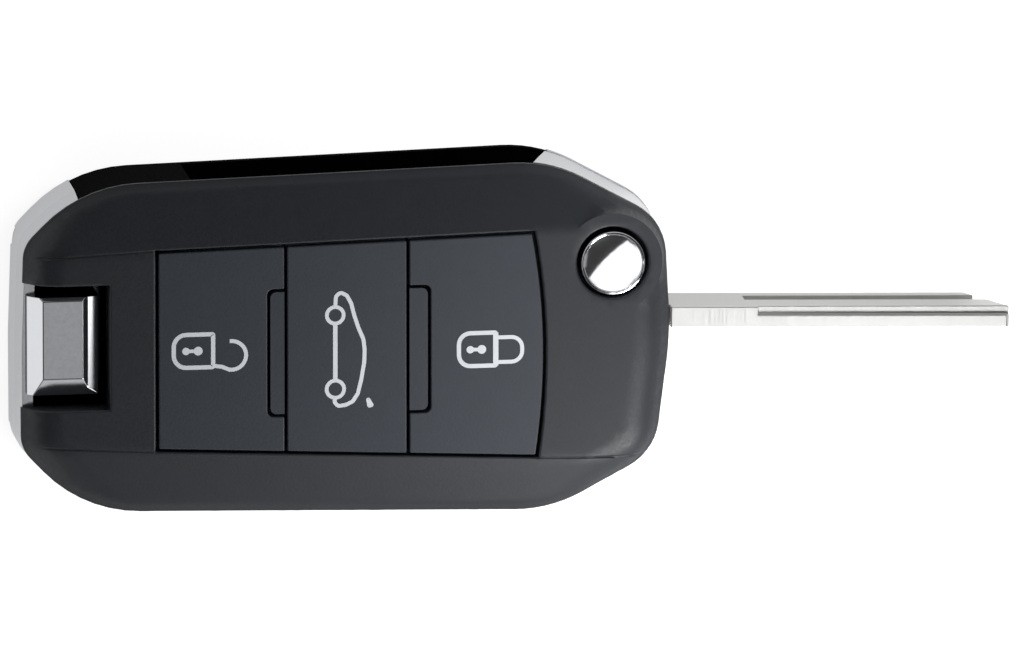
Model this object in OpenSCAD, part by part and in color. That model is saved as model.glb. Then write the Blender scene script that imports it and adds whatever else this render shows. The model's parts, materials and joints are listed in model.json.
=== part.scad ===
// Three-button flip key fob, lying on its back face.
// Origin: middle of the housing on the back face. +X runs to the blade end, +Z out of the button face.

/* [Body outline] */
// Length of the covers from the key ring end to the blade end
body_length = 75.7; // [74:0.1:80]
// Width across the shoulders at the blade end
blade_end_width = 41.2; // [40:0.1:44]
// Width across the shoulders at the key ring end
ring_end_width = 38.4; // [37.4:0.1:41]
// Distance from the blade end back to its shoulders
blade_shoulder = 13.9; // [12.5:0.1:15]
// Distance from the key ring end back to its shoulders
ring_shoulder = 7.2; // [6.5:0.1:9.5]
// Distance of the blade end's corner on the slot side from the middle line
blade_corner_high = 13.2; // [12.5:0.1:14]
// Distance of the blade end's other corner from the middle line
blade_corner_low = 14.1; // [13.5:0.1:14.5]
// How far the blade end's other corner lies behind the one on the slot side
blade_end_lean = 1.1; // [0:0.1:1.5]
// Distance of the key ring end's corner on the slot side from the middle line
ring_corner_high = 12.3; // [11.5:0.1:13]
// Distance of the key ring end's other corner from the middle line
ring_corner_low = 11.6; // [11.5:0.1:13]
// How far the key ring end's other corner stands out past the one on the slot side
ring_end_lean = 0.35; // [0:0.05:0.4]
// How far the blade end bows out past its corner on the slot side
blade_bow = 0.7; // [0.5:0.05:1.2]
// How far the key ring end bows out past its corner on the slot side
ring_bow = 0.4; // [0.4:0.05:1.2]
// Rounding of the bowed ends
bow_radius = 40; // [30:1:80]
// Rounding of the shoulders
shoulder_radius = 16; // [8:0.5:16]
// Rounding of the corners of the blade end
blade_corner_radius = 6.7; // [4:0.1:7]
// Rounding of the corners of the key ring end
ring_corner_radius = 3.9; // [3.5:0.1:4.2]

/* [Body height] */
// Thickness from the back face to the button face
body_thickness = 15.2; // [15.2:0.1:17]
// Height of the seam between the rear cover and the side frame
rear_seam = 1.8; // [1.6:0.1:2]
// Height of the seam between the side frame and the front cover
front_seam = 11.8; // [11.6:0.1:12]
// Wall of the front cover
front_wall = 1.4; // [1.2:0.1:1.6]
// Floor of the rear cover
rear_floor = 1.2; // [1:0.1:1.4]
// Height of the rounded edge of the front cover
front_edge = 1.2; // [0.8:0.1:1.5]
// Width of the rounded edge of the rear cover
rear_edge = 1.5; // [1:0.1:2]
// Length of the rounded run-out at both ends of the button face
end_runout = 4; // [3:0.1:5]

/* [Side frame] */
// Wall of the side frame
frame_wall = 1.5; // [1.3:0.1:1.7]
// How far the frame stands out past the covers
frame_proud = 0.2; // [0.1:0.05:0.3]
// Height of the bevel below the front seam
frame_bevel = 4; // [3:0.1:5]
// Where the frame ends on the blade slot side, from the key ring end
frame_end = 6.9; // [6:0.1:8]
// Width of the two pry notches in the rear edge
notch_width = 2; // [1.5:0.1:2.5]
// Height of the pry notches
notch_height = 1.1; // [0.8:0.1:1.4]
// Distance of each pry notch from the middle line
notch_offset = 11.5; // [10.5:0.1:11.8]

/* [Key ring strap] */
// Width of the strap
strap_width = 11.7; // [9:0.1:12]
// Length of the strap
strap_length = 8.3; // [8.1:0.1:9]
// Thickness of the strap
strap_thickness = 1.6; // [1.2:0.1:1.8]
// Distance of the strap from the key ring end
strap_setback = 0.7; // [0.4:0.1:0.9]
// How far the strap's middle lies towards the slot side
strap_shift = 0.7; // [0:0.1:1]
// How far the strap lies below the button face
strap_drop = 1; // [0.5:0.1:1.2]
// Length and height of the slope at the strap's outer end
strap_slope = 1.7; // [1.4:0.1:1.8]
// Depth of the step near the strap's inner end
strap_step = 0.6; // [0.4:0.1:0.8]
// Width of the sloped rim past the step
rim_width = 1.35; // [1.2:0.05:1.5]
// How far the rim slopes down
rim_fall = 0.45; // [0.3:0.05:0.5]
// Width of the bevel along the strap's lower edge
bevel_width = 2.1; // [1.5:0.1:2.5]
// Height of the bevel along the strap's lower edge
bevel_height = 1.1; // [0.8:0.1:1.2]
// Chamfer along the strap's upper edge
strap_chamfer = 0.4; // [0.2:0.1:0.8]
// Gap between the strap and the sides of its pocket
pocket_side_gap = 1.5; // [1.2:0.1:2]
// Gap between the strap and the inner end of its pocket
pocket_end_gap = 1.05; // [1:0.05:1.6]
// Height of the strap's foot above the back face
foot_height = 4.7; // [4:0.1:6]
// Thickness of the strap's foot
foot_thickness = 1.2; // [1:0.1:1.4]

/* [Button face] */
// Distance from the key ring end to the button panel
panel_start = 15.4; // [15:0.1:16.5]
// Distance from the blade end to the button panel's corners
panel_stop = 15.9; // [15.5:0.1:17]
// Distance of the panel's edge on the slot side from the middle line, at mid length
panel_high = 12.5; // [12:0.1:12.8]
// Distance of the panel's other edge from the middle line, at mid length
panel_low = 12.8; // [12.3:0.1:13.1]
// Taper of the panel's edge on the slot side, in degrees
taper_high = 1.4; // [1:0.1:2]
// Taper of the panel's other edge, in degrees
taper_low = 2.6; // [1.5:0.1:2.8]
// Bow of the panel's end next to the blade
panel_bow = 1.1; // [0.5:0.05:1.5]
// How far the corners of that end lean, towards the ring on the slot side and away from it on the other
panel_lean = 0.2; // [0:0.05:0.4]
// Share of the panel's length that is the unlock button
unlock_share = 0.341; // [0.32:0.001:0.36]
// Share of the panel's length that is the boot button
boot_share = 0.321; // [0.3:0.001:0.33]
// Gap round each button
button_gap = 0.35; // [0.25:0.05:0.45]
// Travel of each button
button_travel = 0.5; // [0.3:0.05:0.55]
// Length of the divider tabs beside the boot button
tab_length = 14.4; // [12:0.1:15]
// How far the middle of the tabs lies below the middle line
tab_drop = 0.5; // [0:0.1:0.7]
// Width of the tab next to the unlock button
unlock_tab_width = 1.8; // [1.4:0.1:2.4]
// Width of the tab next to the lock button
lock_tab_width = 2.3; // [1.4:0.1:2.4]
// Diameter of the stem under each button
stem_diameter = 3.2; // [2.6:0.1:3.6]

/* [Pivot] */
// Distance of the pivot from the blade end
pivot_setback = 7; // [6.9:0.1:7.2]
// Distance of the pivot from the shoulder on the slot side
pivot_inset = 11.55; // [11.4:0.05:11.7]
// Diameter of the carrier's barrel
barrel_diameter = 12; // [11.6:0.1:12.2]
// Diameter of the release button
release_diameter = 7.5; // [7:0.1:7.6]
// Travel of the release button
release_travel = 1.5; // [1:0.1:1.6]
// How far the release button stands out of the button face
release_proud = 0.4; // [0.2:0.1:0.6]
// Depth of the finger dish in the release button
release_dish = 0.35; // [0.3:0.05:0.5]
// Gap between the release button and the front cover
release_gap = 0.45; // [0.3:0.05:0.5]
// Diameter of the round land about the release button
land_diameter = 11.6; // [11:0.1:12]
// How much wider the land is at its foot
land_flare = 1.4; // [0.8:0.1:1.6]
// Wall of the carrier's neck
neck_wall = 0.8; // [0.7:0.05:0.9]
// Depth of the neck below the button face
neck_depth = 1.6; // [1.2:0.1:2]
// Diameter of the post that carries the flip spring
post_diameter = 4.8; // [4.4:0.1:5.2]
// Where the carrier's heel ends, from the blade end, at its front edge
heel_reach = 15.8; // [14:0.1:16]
// How far the heel's end slants back towards the rear edge
heel_slant = 2.5; // [1.5:0.1:2.6]

/* [Blade] */
// Length of the blade outside the housing
blade_reach = 40.3; // [36:0.1:44]
// Width of the blade
blade_width = 8; // [7.2:0.1:8.2]
// Thickness of the blade
blade_thickness = 2.5; // [2.2:0.1:2.6]
// Distance of the blade's middle plane from the pivot
blade_offset = 7.35; // [7:0.05:7.5]
// Angle of the open blade to the middle line, in degrees
blade_angle = -1.6; // [-2:0.05:-0.5]
// Width of the tang in the carrier
tang_width = 5; // [4:0.1:5.6]
// Length of the plain shank before the milled part
shank_length = 9.8; // [8:0.1:12]
// Width of the milled groove
groove_width = 2.3; // [1.8:0.1:2.6]
// Depth of the milled groove
groove_depth = 0.75; // [0.5:0.05:0.85]
// Distance of each groove from the blade's middle
groove_shift = 1.25; // [0.8:0.05:1.4]
// Depth of the rebate along each milled edge
rebate_depth = 0.6; // [0.4:0.1:0.8]
// Width of the rebate along each milled edge
rebate_width = 1; // [0.7:0.1:1.1]
// Length of the slanted tip
tip_length = 4.2; // [3:0.1:5]
// Diameter of the pin through carrier and tang
pin_diameter = 1.6; // [1.2:0.1:1.8]

/* [Inside] */
// Wall of the chassis
chassis_wall = 1.2; // [1:0.1:1.3]
// Floor of the carrier's well and the blade slot
well_floor_wall = 0.9; // [0.7:0.1:1]
// Height of the board's seat above the back face
board_seat = 8.5; // [8.2:0.1:8.7]
// Thickness of the circuit board
board_thickness = 1; // [0.8:0.1:1.1]
// Width of the ledge that the board rests on
ledge_width = 0.9; // [0.6:0.1:1]
// Diameter of the coin cell
cell_diameter = 20; // [16:0.5:20.5]
// Thickness of the coin cell
cell_thickness = 3.2; // [2.5:0.1:3.2]
// Side of each push switch
switch_side = 4.5; // [4:0.1:4.8]
// Height of each push switch
switch_height = 1.5; // [1.3:0.1:1.6]
// Diameter of each switch plunger
plunger_diameter = 1.8; // [1.4:0.1:2]
// Wire of the flip spring
flip_wire = 0.7; // [0.6:0.05:0.75]
// Wire of the release spring
release_wire = 0.35; // [0.3:0.05:0.4]

/* [Electronics] */
// Gap between the strap's pocket and the coin cell
cell_gap = 5.8; // [5:0.1:7]
// Thickness of the sheet metal of the cell's contacts
strip = 0.4; // [0.3:0.05:0.5]
// Width of the clip at the rim of the cell
clip_width = 6; // [4:0.5:8]
// Length of the clip's flat on the board
clip_flat = 1.4; // [1:0.1:1.6]
// Width of the leaf contact
contact_width = 4; // [3:0.5:5]
// Length of the leaf contact's slope
contact_slope = 9; // [8:0.5:10]
// Length of each flat end of the leaf contact
contact_flat = 2; // [1.5:0.1:2.2]
// Side of the controller chip
chip_side = 6.5; // [5:0.5:7]
// Height of the controller chip
chip_height = 1.3; // [1:0.1:1.6]
// Spacing of the controller chip's leads
lead_pitch = 0.7; // [0.6:0.05:0.8]
// Width of each lead
lead_width = 0.3; // [0.25:0.05:0.35]
// Length of each lead
lead_length = 0.9; // [0.7:0.1:1]
// Length of the resonator between its round ends
can_length = 3; // [2.5:0.1:4]
// Width of the resonator
can_width = 3.2; // [2.8:0.1:3.6]
// Height of the resonator
can_height = 2.2; // [1.8:0.1:2.6]
// Length of the transponder coil
coil_length = 7; // [6:0.5:8]
// Width of the coil's ferrite cheeks
cheek_width = 2.8; // [2.4:0.1:3]
// Thickness of each ferrite cheek
cheek_thickness = 0.8; // [0.6:0.1:1]
// Height of the coil's ferrite cheeks
cheek_height = 2.6; // [2.2:0.1:2.8]
// Length of each chip resistor
resistor_length = 1.6; // [1:0.1:1.8]
// Width of each chip resistor
resistor_width = 0.8; // [0.5:0.1:0.9]
// Height of each chip resistor
resistor_height = 0.6; // [0.4:0.1:0.7]

/* [Fits] */
// Clearance between pieces that are fitted together
fit = 0.05; // [0.03:0.01:0.08]
// Clearance between pieces that pass each other
pass_gap = 0.3; // [0.25:0.05:0.35]

/* [Hidden] */
$fn = 64;

// Skin for cuts that have to run past a face
past = 1;
// Far reach of half-plane masks
far = 90;
// Thin slice that stands for an outline inside a hull
slice = 0.02;

// How far a bowed end's peak lies out before rounding, from the slopes of its two halves
function peak_over(a, b) = bow_radius * (cos((a - b) / 2) / cos((a + b) / 2) - 1);

// Outline
blade_peak = body_length / 2
    + peak_over(atan(blade_bow / blade_corner_high), atan((blade_bow + blade_end_lean) / blade_corner_low));
ring_peak = body_length / 2
    + peak_over(atan(ring_bow / ring_corner_high), atan((ring_bow - ring_end_lean) / ring_corner_low));
blade_shoulder_x = body_length / 2 - blade_shoulder;
ring_shoulder_x = ring_shoulder - body_length / 2;
edge_taper = atan((blade_end_width - ring_end_width) / 2 / (blade_shoulder_x - ring_shoulder_x));
outline_corners = [
    [blade_peak, 0],
    [blade_peak - blade_bow, blade_corner_high],
    [blade_shoulder_x, blade_end_width / 2],
    [ring_shoulder_x, ring_end_width / 2],
    [ring_bow - ring_peak, ring_corner_high],
    [-ring_peak, 0],
    [ring_bow - ring_end_lean - ring_peak, -ring_corner_low],
    [ring_shoulder_x, -ring_end_width / 2],
    [blade_shoulder_x, -blade_end_width / 2],
    [blade_peak - blade_bow - blade_end_lean, -blade_corner_low]];
outline_radii = [bow_radius, blade_corner_radius, shoulder_radius, shoulder_radius, ring_corner_radius,
    bow_radius, ring_corner_radius, shoulder_radius, shoulder_radius, blade_corner_radius];
least_radius = 0.5;
arc_steps = 7;

// Rounded edges of the covers: height and inset of each step, as shares of the edge
front_edge_steps = [[0.25, 0], [0.65, 0.2], [1, 0.65]];
rear_edge_steps = [[0, 1], [0.2, 0.5], [0.55, 0.15]];
// Run-out of the button face: drop in mm, and distance from the outline as a share of the run-out
runout_steps = [[1.2, 0.3], [0.4, 0.6], [slice, 1]];

// Heights
button_face = body_thickness;
well_floor = rear_seam + well_floor_wall;
carrier_bottom = well_floor + pass_gap;
carrier_top = front_seam - pass_gap;
blade_mid = (carrier_bottom + carrier_top) / 2;
board_top = board_seat + board_thickness;
switch_top = board_top + switch_height;
switch_floor = 0.2;
plunger_top = switch_top + button_travel + fit * 2;
plunger_foot = board_top + button_travel + switch_floor + fit;
frame_plate = 0.5;
frame_plate_top = front_seam + frame_plate;
frame_plate_margin = 1.4;
cap_bottom = frame_plate_top + button_travel + fit;
cap_flange = 0.45;
cap_flange_reach = 0.6;
cell_top = rear_floor + cell_thickness;

// Pivot, blade slot and the room that the blade and its carrier turn in
pivot = [body_length / 2 - pivot_setback, blade_end_width / 2 - pivot_inset];
flip_travel = 180 + edge_taper - blade_angle;
barrel_radius = barrel_diameter / 2;
release_bore = release_diameter / 2 + fit;
neck_radius = release_bore + neck_wall;
neck_top = button_face - neck_depth;
chamber_radius = neck_radius - fit * 2;
chamber_wall = 0.8;
chamber_floor = blade_mid + chamber_wall / 2;
shoulder_height = 0.5;
flange_height = 1;
flange_radius = chamber_radius - fit * 2;
release_seat = carrier_top - shoulder_height - fit;
release_rim = 0.35;
tip_reach = pivot_setback + blade_reach;
heel_front = body_length / 2 - heel_reach;
heel_thickness = 2;
heel_root = [barrel_radius * 0.93, barrel_radius / 3];
heel_radius = norm([pivot[0] - heel_front, blade_end_width / 2 + frame_proud - pivot[1]]);
well_radius = heel_radius + pass_gap;
block_wall = 0.65;
block_low = blade_offset + blade_thickness / 2 + block_wall;
block_back = 3.6;
tang_back = 2.5;
pin_x = pivot_setback * 0.35;
pin_inner = blade_offset - blade_thickness / 2 - 0.5;
pin_outer = block_low - 0.2;
slot_floor = blade_offset - blade_thickness / 2 - pass_gap * 1.5;
slot_end_gap = 1.2;
slot_start = frame_end - body_length / 2;
slot_stop = heel_front + heel_slant + pass_gap;

// Strap and its pocket
strap_x = strap_setback - body_length / 2;
strap_end = strap_x + strap_length;
strap_top = button_face - strap_drop;
strap_low = strap_shift - strap_width / 2;
strap_high = strap_shift + strap_width / 2;
strap_leg = 1;
strap_leg_drop = 2.5;
rim_corner = 0.4;
leg_x = ring_bow * strap_high / ring_corner_high - ring_peak + frame_wall + fit * 2;
pocket_x = strap_end + pocket_end_gap;
pocket_low = strap_low - pocket_side_gap;
pocket_width = strap_width + 2 * pocket_side_gap;
foot_depth = chassis_wall * 0.65;

// Button panel
panel_x = panel_start - body_length / 2;
panel_end = body_length / 2 - panel_stop;
boot_x = panel_x + (panel_end - panel_x) * unlock_share;
lock_x = boot_x + (panel_end - panel_x) * boot_share;
bow_steps = 6;
tab_half = tab_length / 2;
tab_corner = 0.7;
tab_root = 0.1;
unlock_stem_x = (panel_x + boot_x) / 2;
boot_stem_x = (boot_x + lock_x) / 2;
lock_stem_x = lock_x + (panel_end - lock_x) * 0.4;
stem_places = [unlock_stem_x, boot_stem_x, lock_stem_x];

// Places of the inside parts
cell = [pocket_x + cell_gap + cell_diameter / 2, -ring_end_width * 0.065];
chip = [body_length * 0.0925, -blade_end_width * 0.146];
can = [body_length * 0.066, blade_end_width * 0.121];
coil = [body_length * 0.264, -blade_end_width * 0.29];
lower_row = [body_length * 0.013, -blade_end_width * 0.28];
upper_row = [-body_length * 0.264, blade_end_width * 0.182];

// Distance of the button band's two edges from the middle line at x
function band_high(x) = panel_high + x * tan(taper_high);
function band_low(x) = panel_low + x * tan(taper_low);

// Unit vector from a to b, and its left-hand normal
function unit(a, b) = (b - a) / norm(b - a);
function left(v) = [-v[1], v[0]];

// Corners of a closed, counter-clockwise polygon moved inwards by d
function inset_corners(p, d) = [for (i = [0:len(p) - 1])
    let (
        n1 = left(unit(p[(i + len(p) - 1) % len(p)], p[i])),
        n2 = left(unit(p[i], p[(i + 1) % len(p)]))
    )
    p[i] + (n1 + n2) * d / (1 + n1 * n2)];

// Arc that rounds corner b between a and c
function corner_arc(a, b, c, r) =
    let (
        u = unit(b, a),
        v = unit(b, c),
        half = acos(u * v) / 2,
        centre = b + unit([0, 0], u + v) * r / sin(half),
        start = b + u * r / tan(half) - centre,
        turn = 180 - 2 * half
    )
    [for (k = [0:arc_steps])
        let (w = turn * k / arc_steps)
        centre + [start[0] * cos(w) - start[1] * sin(w), start[0] * sin(w) + start[1] * cos(w)]];

// Closed polygon with each corner rounded by its own radius
function rounded(p, r) = [for (i = [0:len(p) - 1])
    each corner_arc(p[(i + len(p) - 1) % len(p)], p[i], p[(i + 1) % len(p)], r[i])];

// Housing outline, moved inwards by d
module outline(d = 0) {
    polygon(rounded(inset_corners(outline_corners, d), [for (r = outline_radii) max(r - d, least_radius)]));
}

// Thin slice of the outline at height z
module outline_slice(z, d) {
    translate([0, 0, z]) linear_extrude(slice) outline(d);
}

// Thin slice of the flat button band at height z, kept back from the outline by d
module band_slice(z, d) {
    reach = body_length;
    translate([0, 0, z]) linear_extrude(slice) intersection() {
        outline(d);
        polygon([[-reach, -band_low(-reach)], [reach, -band_low(reach)],
            [reach, band_high(reach)], [-reach, band_high(-reach)]]);
    }
}

// Straight wall of the 2-D children between two heights
module wall(z1, z2) {
    translate([0, 0, z1]) linear_extrude(z2 - z1) children();
}

// Places its children at the pivot, at height z
module at_pivot(z = 0) {
    translate([pivot[0], pivot[1], z]) children();
}

// Panel area from x1 to x2, with side margin m and end margins m1 and m2, bowed by b at x2
module panel_area(x1, x2, m, m1, m2, b) {
    bow = [for (k = [-bow_steps:bow_steps])
        let (
            t = k / bow_steps,
            half = (t > 0 ? band_high(x2) : band_low(x2)) - m
        )
        [x2 - m2 + b * (1 - t * t) - (b > 0 ? panel_lean * t : 0), t * half]];
    polygon(concat([[x1 + m1, band_high(x1) - m], [x1 + m1, m - band_low(x1)]], bow));
}

// Room that the blade and its carrier sweep, seen from the front
module sweep() {
    translate(pivot) {
        circle(well_radius);
        translate([0, -block_low - pass_gap]) square([far, far]);
        rotate(edge_taper) translate([-tip_reach - slot_end_gap, slot_floor])
            square([tip_reach + slot_end_gap, far]);
    }
}

// Bay for the board and the cell, seen from the front, narrowed by d
module bay(d) {
    difference() {
        intersection() {
            outline(frame_wall + fit * 2 + chassis_wall + d);
            translate([pocket_x + chassis_wall + d, -far / 2]) square([far, far]);
            translate(pivot) rotate(edge_taper) translate([-far, slot_floor - chassis_wall - d - far])
                square([2 * far, far]);
        }
        translate(pivot) circle(well_radius + chassis_wall + d);
    }
}

// Pocket for the strap, open through the key ring end and wider by d
module pocket(d = 0) {
    translate([-far, pocket_low - d]) square([far + pocket_x + d, pocket_width + 2 * d]);
}

// Side of the covers that is open to the blade slot, seen from the front, shortened by d at both ends
module slot_side(d) {
    translate([slot_start + d, 0]) square([slot_stop - slot_start - 2 * d, far]);
}

module front_shell() {
    hull() {
        outline_slice(front_seam, 0);
        for (s = front_edge_steps)
            outline_slice(front_seam + front_edge * s[0], front_edge * s[1]);
        for (s = runout_steps)
            band_slice(button_face - s[0], end_runout * s[1]);
    }
    at_pivot(front_seam)
        cylinder(d1 = land_diameter + land_flare, d2 = land_diameter, h = button_face - front_seam);
}

module front_hollow() {
    difference() {
        hull() {
            wall(front_seam - past, front_seam + slice) outline(front_wall * 1.15);
            band_slice(button_face - front_wall, end_runout + front_wall);
        }
        wall(0, far) pocket(chassis_wall);
        at_pivot() cylinder(d = land_diameter, h = far);
    }
}

module front_cover() {
    color([0.16, 0.17, 0.19]) difference() {
        front_shell();
        front_hollow();
        wall(0, far) panel_area(panel_x, panel_end, 0, 0, 0, panel_bow);
        wall(0, far) pocket();
        at_pivot() cylinder(r = neck_radius + fit, h = neck_top + pass_gap);
        at_pivot() cylinder(d = release_diameter + 2 * release_gap, h = far);
    }
}

module rear_cover() {
    color([0.1, 0.1, 0.11]) difference() {
        hull() {
            for (s = rear_edge_steps)
                outline_slice(rear_edge * s[0], rear_edge * s[1]);
            outline_slice(rear_seam - slice, 0);
        }
        wall(rear_floor, far) bay(ledge_width);
        wall(-past, far) intersection() {
            pocket();
            outline(frame_wall + fit);
        }
    }
}

module side_frame() {
    bevel_foot = front_seam - frame_bevel;
    color([0.75, 0.76, 0.78]) difference() {
        union() {
            wall(rear_seam, bevel_foot) outline(-frame_proud);
            hull() {
                wall(bevel_foot - slice, bevel_foot) outline(-frame_proud);
                wall(front_seam - slice, front_seam) outline(frame_proud);
            }
        }
        wall(0, far) outline(frame_wall);
        wall(0, far) slot_side(0);
        wall(well_floor, far) sweep();
        for (side = [-1, 1])
            translate([-ring_peak - past, side * notch_offset - notch_width / 2, rear_seam - past])
                cube([past + ring_bow + frame_wall / 3, notch_width, notch_height + past]);
    }
}

// The strap from the side: slope, flat, step, rim and leg, with a foot at each end
function strap_side() =
    let (
        under = strap_top - strap_thickness,
        lip_bottom = front_seam + fit,
        leg_bottom = front_seam - strap_leg_drop,
        inner_x = strap_end - strap_thickness,
        foot_x = pocket_x + foot_depth,
        foot_top = foot_height + foot_thickness,
        rim = [strap_end - rim_width, strap_top - strap_step],
        rim_end = [strap_end, strap_top - strap_step - rim_fall]
    )
    concat(
        [[strap_x, lip_bottom], [leg_x, lip_bottom], [leg_x, leg_bottom],
            [leg_x + strap_leg, leg_bottom], [leg_x + strap_leg, under], [inner_x, under],
            [inner_x, foot_height], [foot_x, foot_height], [foot_x, foot_top], [strap_end, foot_top]],
        corner_arc([strap_end, foot_top], rim_end, rim, rim_corner),
        [rim, rim + [-strap_step, strap_step],
            [strap_x + strap_slope, strap_top], [strap_x, strap_top - strap_slope]]);

module key_ring_strap() {
    color([0.8, 0.81, 0.83]) intersection() {
        rotate([90, 0, 0]) translate([0, 0, -far]) linear_extrude(2 * far) polygon(strap_side());
        rotate([90, 0, 90]) translate([0, 0, -far]) linear_extrude(2 * far) polygon([
            [strap_low, 0], [strap_high, 0], [strap_high, strap_top - strap_chamfer],
            [strap_high - strap_chamfer, strap_top], [strap_low + bevel_width, strap_top],
            [strap_low, strap_top - bevel_height]]);
    }
}

module chassis() {
    color([0.07, 0.07, 0.08]) {
        difference() {
            wall(rear_seam, front_seam) union() {
                outline(frame_wall + fit * 2);
                intersection() {
                    outline(0);
                    slot_side(fit * 2);
                }
            }
            wall(well_floor, far) sweep();
            wall(0, far) bay(ledge_width);
            wall(board_seat, far) bay(0);
            wall(0, far) pocket();
            translate([pocket_x - past, strap_low - fit, foot_height - fit])
                cube([past + foot_depth + fit, strap_width + 2 * fit, foot_thickness + 2 * fit]);
        }
        at_pivot(rear_seam) cylinder(d = post_diameter, h = blade_mid - chamber_wall - rear_seam);
    }
}

// One divider tab, with its straight side at x and its round side towards the end of the panel
module tab_area(x, side, width, margin) {
    low = -tab_half - margin;
    high = tab_half + margin;
    translate([x, -tab_drop]) mirror([side < 0 ? 1 : 0, 0]) polygon(rounded(
        [[-past, low], [width + margin, low], [width + margin, high], [-past, high]],
        [tab_root, tab_corner, tab_corner, tab_root]));
}

// The part of a tab that stands between its own button and the boot button's gap
module tab_body(x, side, width) {
    intersection() {
        tab_area(x, side, width, 0);
        translate([x + (side < 0 ? -far : button_gap / 2), -far / 2])
            square([far - (side < 0 ? button_gap / 2 : 0), far]);
    }
}

module button_frame() {
    margin = -frame_plate_margin;
    color([0.09, 0.09, 0.1]) {
        difference() {
            wall(front_seam, frame_plate_top)
                panel_area(panel_x, panel_end, margin, margin, margin, panel_bow);
            for (x = stem_places)
                translate([x, 0, 0]) cylinder(d = stem_diameter + 2 * pass_gap, h = far);
        }
        wall(front_seam, button_face) {
            tab_body(boot_x, -1, unlock_tab_width);
            tab_body(lock_x, 1, lock_tab_width);
        }
    }
}

// A button: its cap with the flange that keeps it under the cover, and its stem
module button(x1, x2, m1, m2, bow, stem_x) {
    flange_start = panel_low / 2;
    difference() {
        wall(cap_bottom, button_face) panel_area(x1, x2, button_gap, m1, m2, bow);
        children();
    }
    difference() {
        wall(cap_bottom, cap_bottom + cap_flange) intersection() {
            panel_area(x1, x2, -cap_flange_reach, m1 + past, m2 + past, bow);
            union() {
                translate([-far, flange_start]) square([2 * far, far]);
                translate([-far, -far - flange_start]) square([2 * far, far]);
            }
        }
        children();
    }
    translate([stem_x, 0, plunger_top])
        cylinder(d = stem_diameter, h = cap_bottom - plunger_top + past / 2);
}

module unlock_button() {
    color([0.17, 0.18, 0.21])
        button(panel_x, boot_x, button_gap, button_gap / 2, 0, unlock_stem_x)
        wall(0, far) tab_area(boot_x, -1, unlock_tab_width, button_gap);
}

module boot_button() {
    color([0.17, 0.18, 0.21])
        button(boot_x, lock_x, button_gap / 2, button_gap / 2, 0, boot_stem_x);
}

module lock_button() {
    color([0.17, 0.18, 0.21])
        button(lock_x, panel_end, button_gap / 2, button_gap, panel_bow, lock_stem_x)
        wall(0, far) tab_area(lock_x, 1, lock_tab_width, button_gap);
}

// Plunger of one push switch, clear of the switch's floor over the whole travel
module plunger(x) {
    color([0.12, 0.12, 0.13]) translate([x, 0, plunger_foot])
        cylinder(d = plunger_diameter, h = plunger_top - plunger_foot);
}

module unlock_plunger() {
    plunger(unlock_stem_x);
}

module boot_plunger() {
    plunger(boot_stem_x);
}

module lock_plunger() {
    plunger(lock_stem_x);
}

module switch_bodies() {
    color([0.7, 0.7, 0.68]) for (x = stem_places)
        translate([x, 0, board_top]) difference() {
            translate([-switch_side / 2, -switch_side / 2, 0])
                cube([switch_side, switch_side, switch_height]);
            translate([0, 0, switch_floor]) cylinder(d = plunger_diameter + 4 * fit, h = far);
        }
}

module circuit_board() {
    color([0.05, 0.3, 0.15]) wall(board_seat, board_top) bay(fit * 3);
}

// Coin cell: a can with a rounded base and a smaller cap, which is on top
module coin_cell() {
    radius = cell_diameter / 2;
    base_edge = cell_thickness * 0.08;
    can_height = cell_thickness * 0.85;
    cap_height = cell_thickness * 0.9;
    cap_radius = radius * 0.86;
    color([0.78, 0.78, 0.76]) translate([cell[0], cell[1], rear_floor]) rotate_extrude() polygon([
        [0, 0], [radius - base_edge, 0], [radius, base_edge], [radius, can_height],
        [radius * 0.88, cap_height], [cap_radius, cell_thickness], [0, cell_thickness]]);
}

// Positive clip: a strip on the rim of the cell, folded flat under the board
module battery_clip() {
    foot = rear_floor + strip * 1.5;
    translate([cell[0] - clip_width / 2, cell[1] - cell_diameter / 2 - fit * 2 - strip, 0])
        color([0.75, 0.7, 0.55]) {
            translate([0, 0, foot]) cube([clip_width, strip, board_seat - foot]);
            translate([0, -clip_flat, board_seat - strip]) cube([clip_width, clip_flat + strip, strip]);
        }
}

// Negative contact: a leaf that springs down from the board to the top of the cell
module battery_contact() {
    skew = strip / 2;
    far_end = contact_slope + contact_flat;
    color([0.75, 0.7, 0.55]) translate([cell[0], cell[1] + contact_width / 2, 0]) rotate([90, 0, 0])
        linear_extrude(contact_width) polygon([
            [far_end, board_seat], [contact_slope, board_seat], [0, cell_top + strip],
            [-contact_flat, cell_top + strip], [-contact_flat, cell_top], [skew, cell_top],
            [contact_slope + skew, board_seat - strip], [far_end, board_seat - strip]]);
}

module controller_chip() {
    leads = 8;
    color([0.1, 0.1, 0.1]) translate([chip[0], chip[1], board_seat - chip_height]) {
        translate([-chip_side / 2, -chip_side / 2, 0]) cube([chip_side, chip_side, chip_height]);
        for (k = [0:leads - 1], turn = [0, 180])
            rotate(turn) translate([chip_side / 2, (k - (leads - 1) / 2) * lead_pitch - lead_width / 2,
                chip_height / 2]) cube([lead_length, lead_width, chip_height / 2]);
    }
}

module resonator_can() {
    color([0.8, 0.8, 0.8]) translate([can[0], can[1], board_seat - can_height])
        linear_extrude(can_height) hull() for (side = [-1, 1])
            translate([side * can_length / 2, 0]) circle(d = can_width);
}

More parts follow.
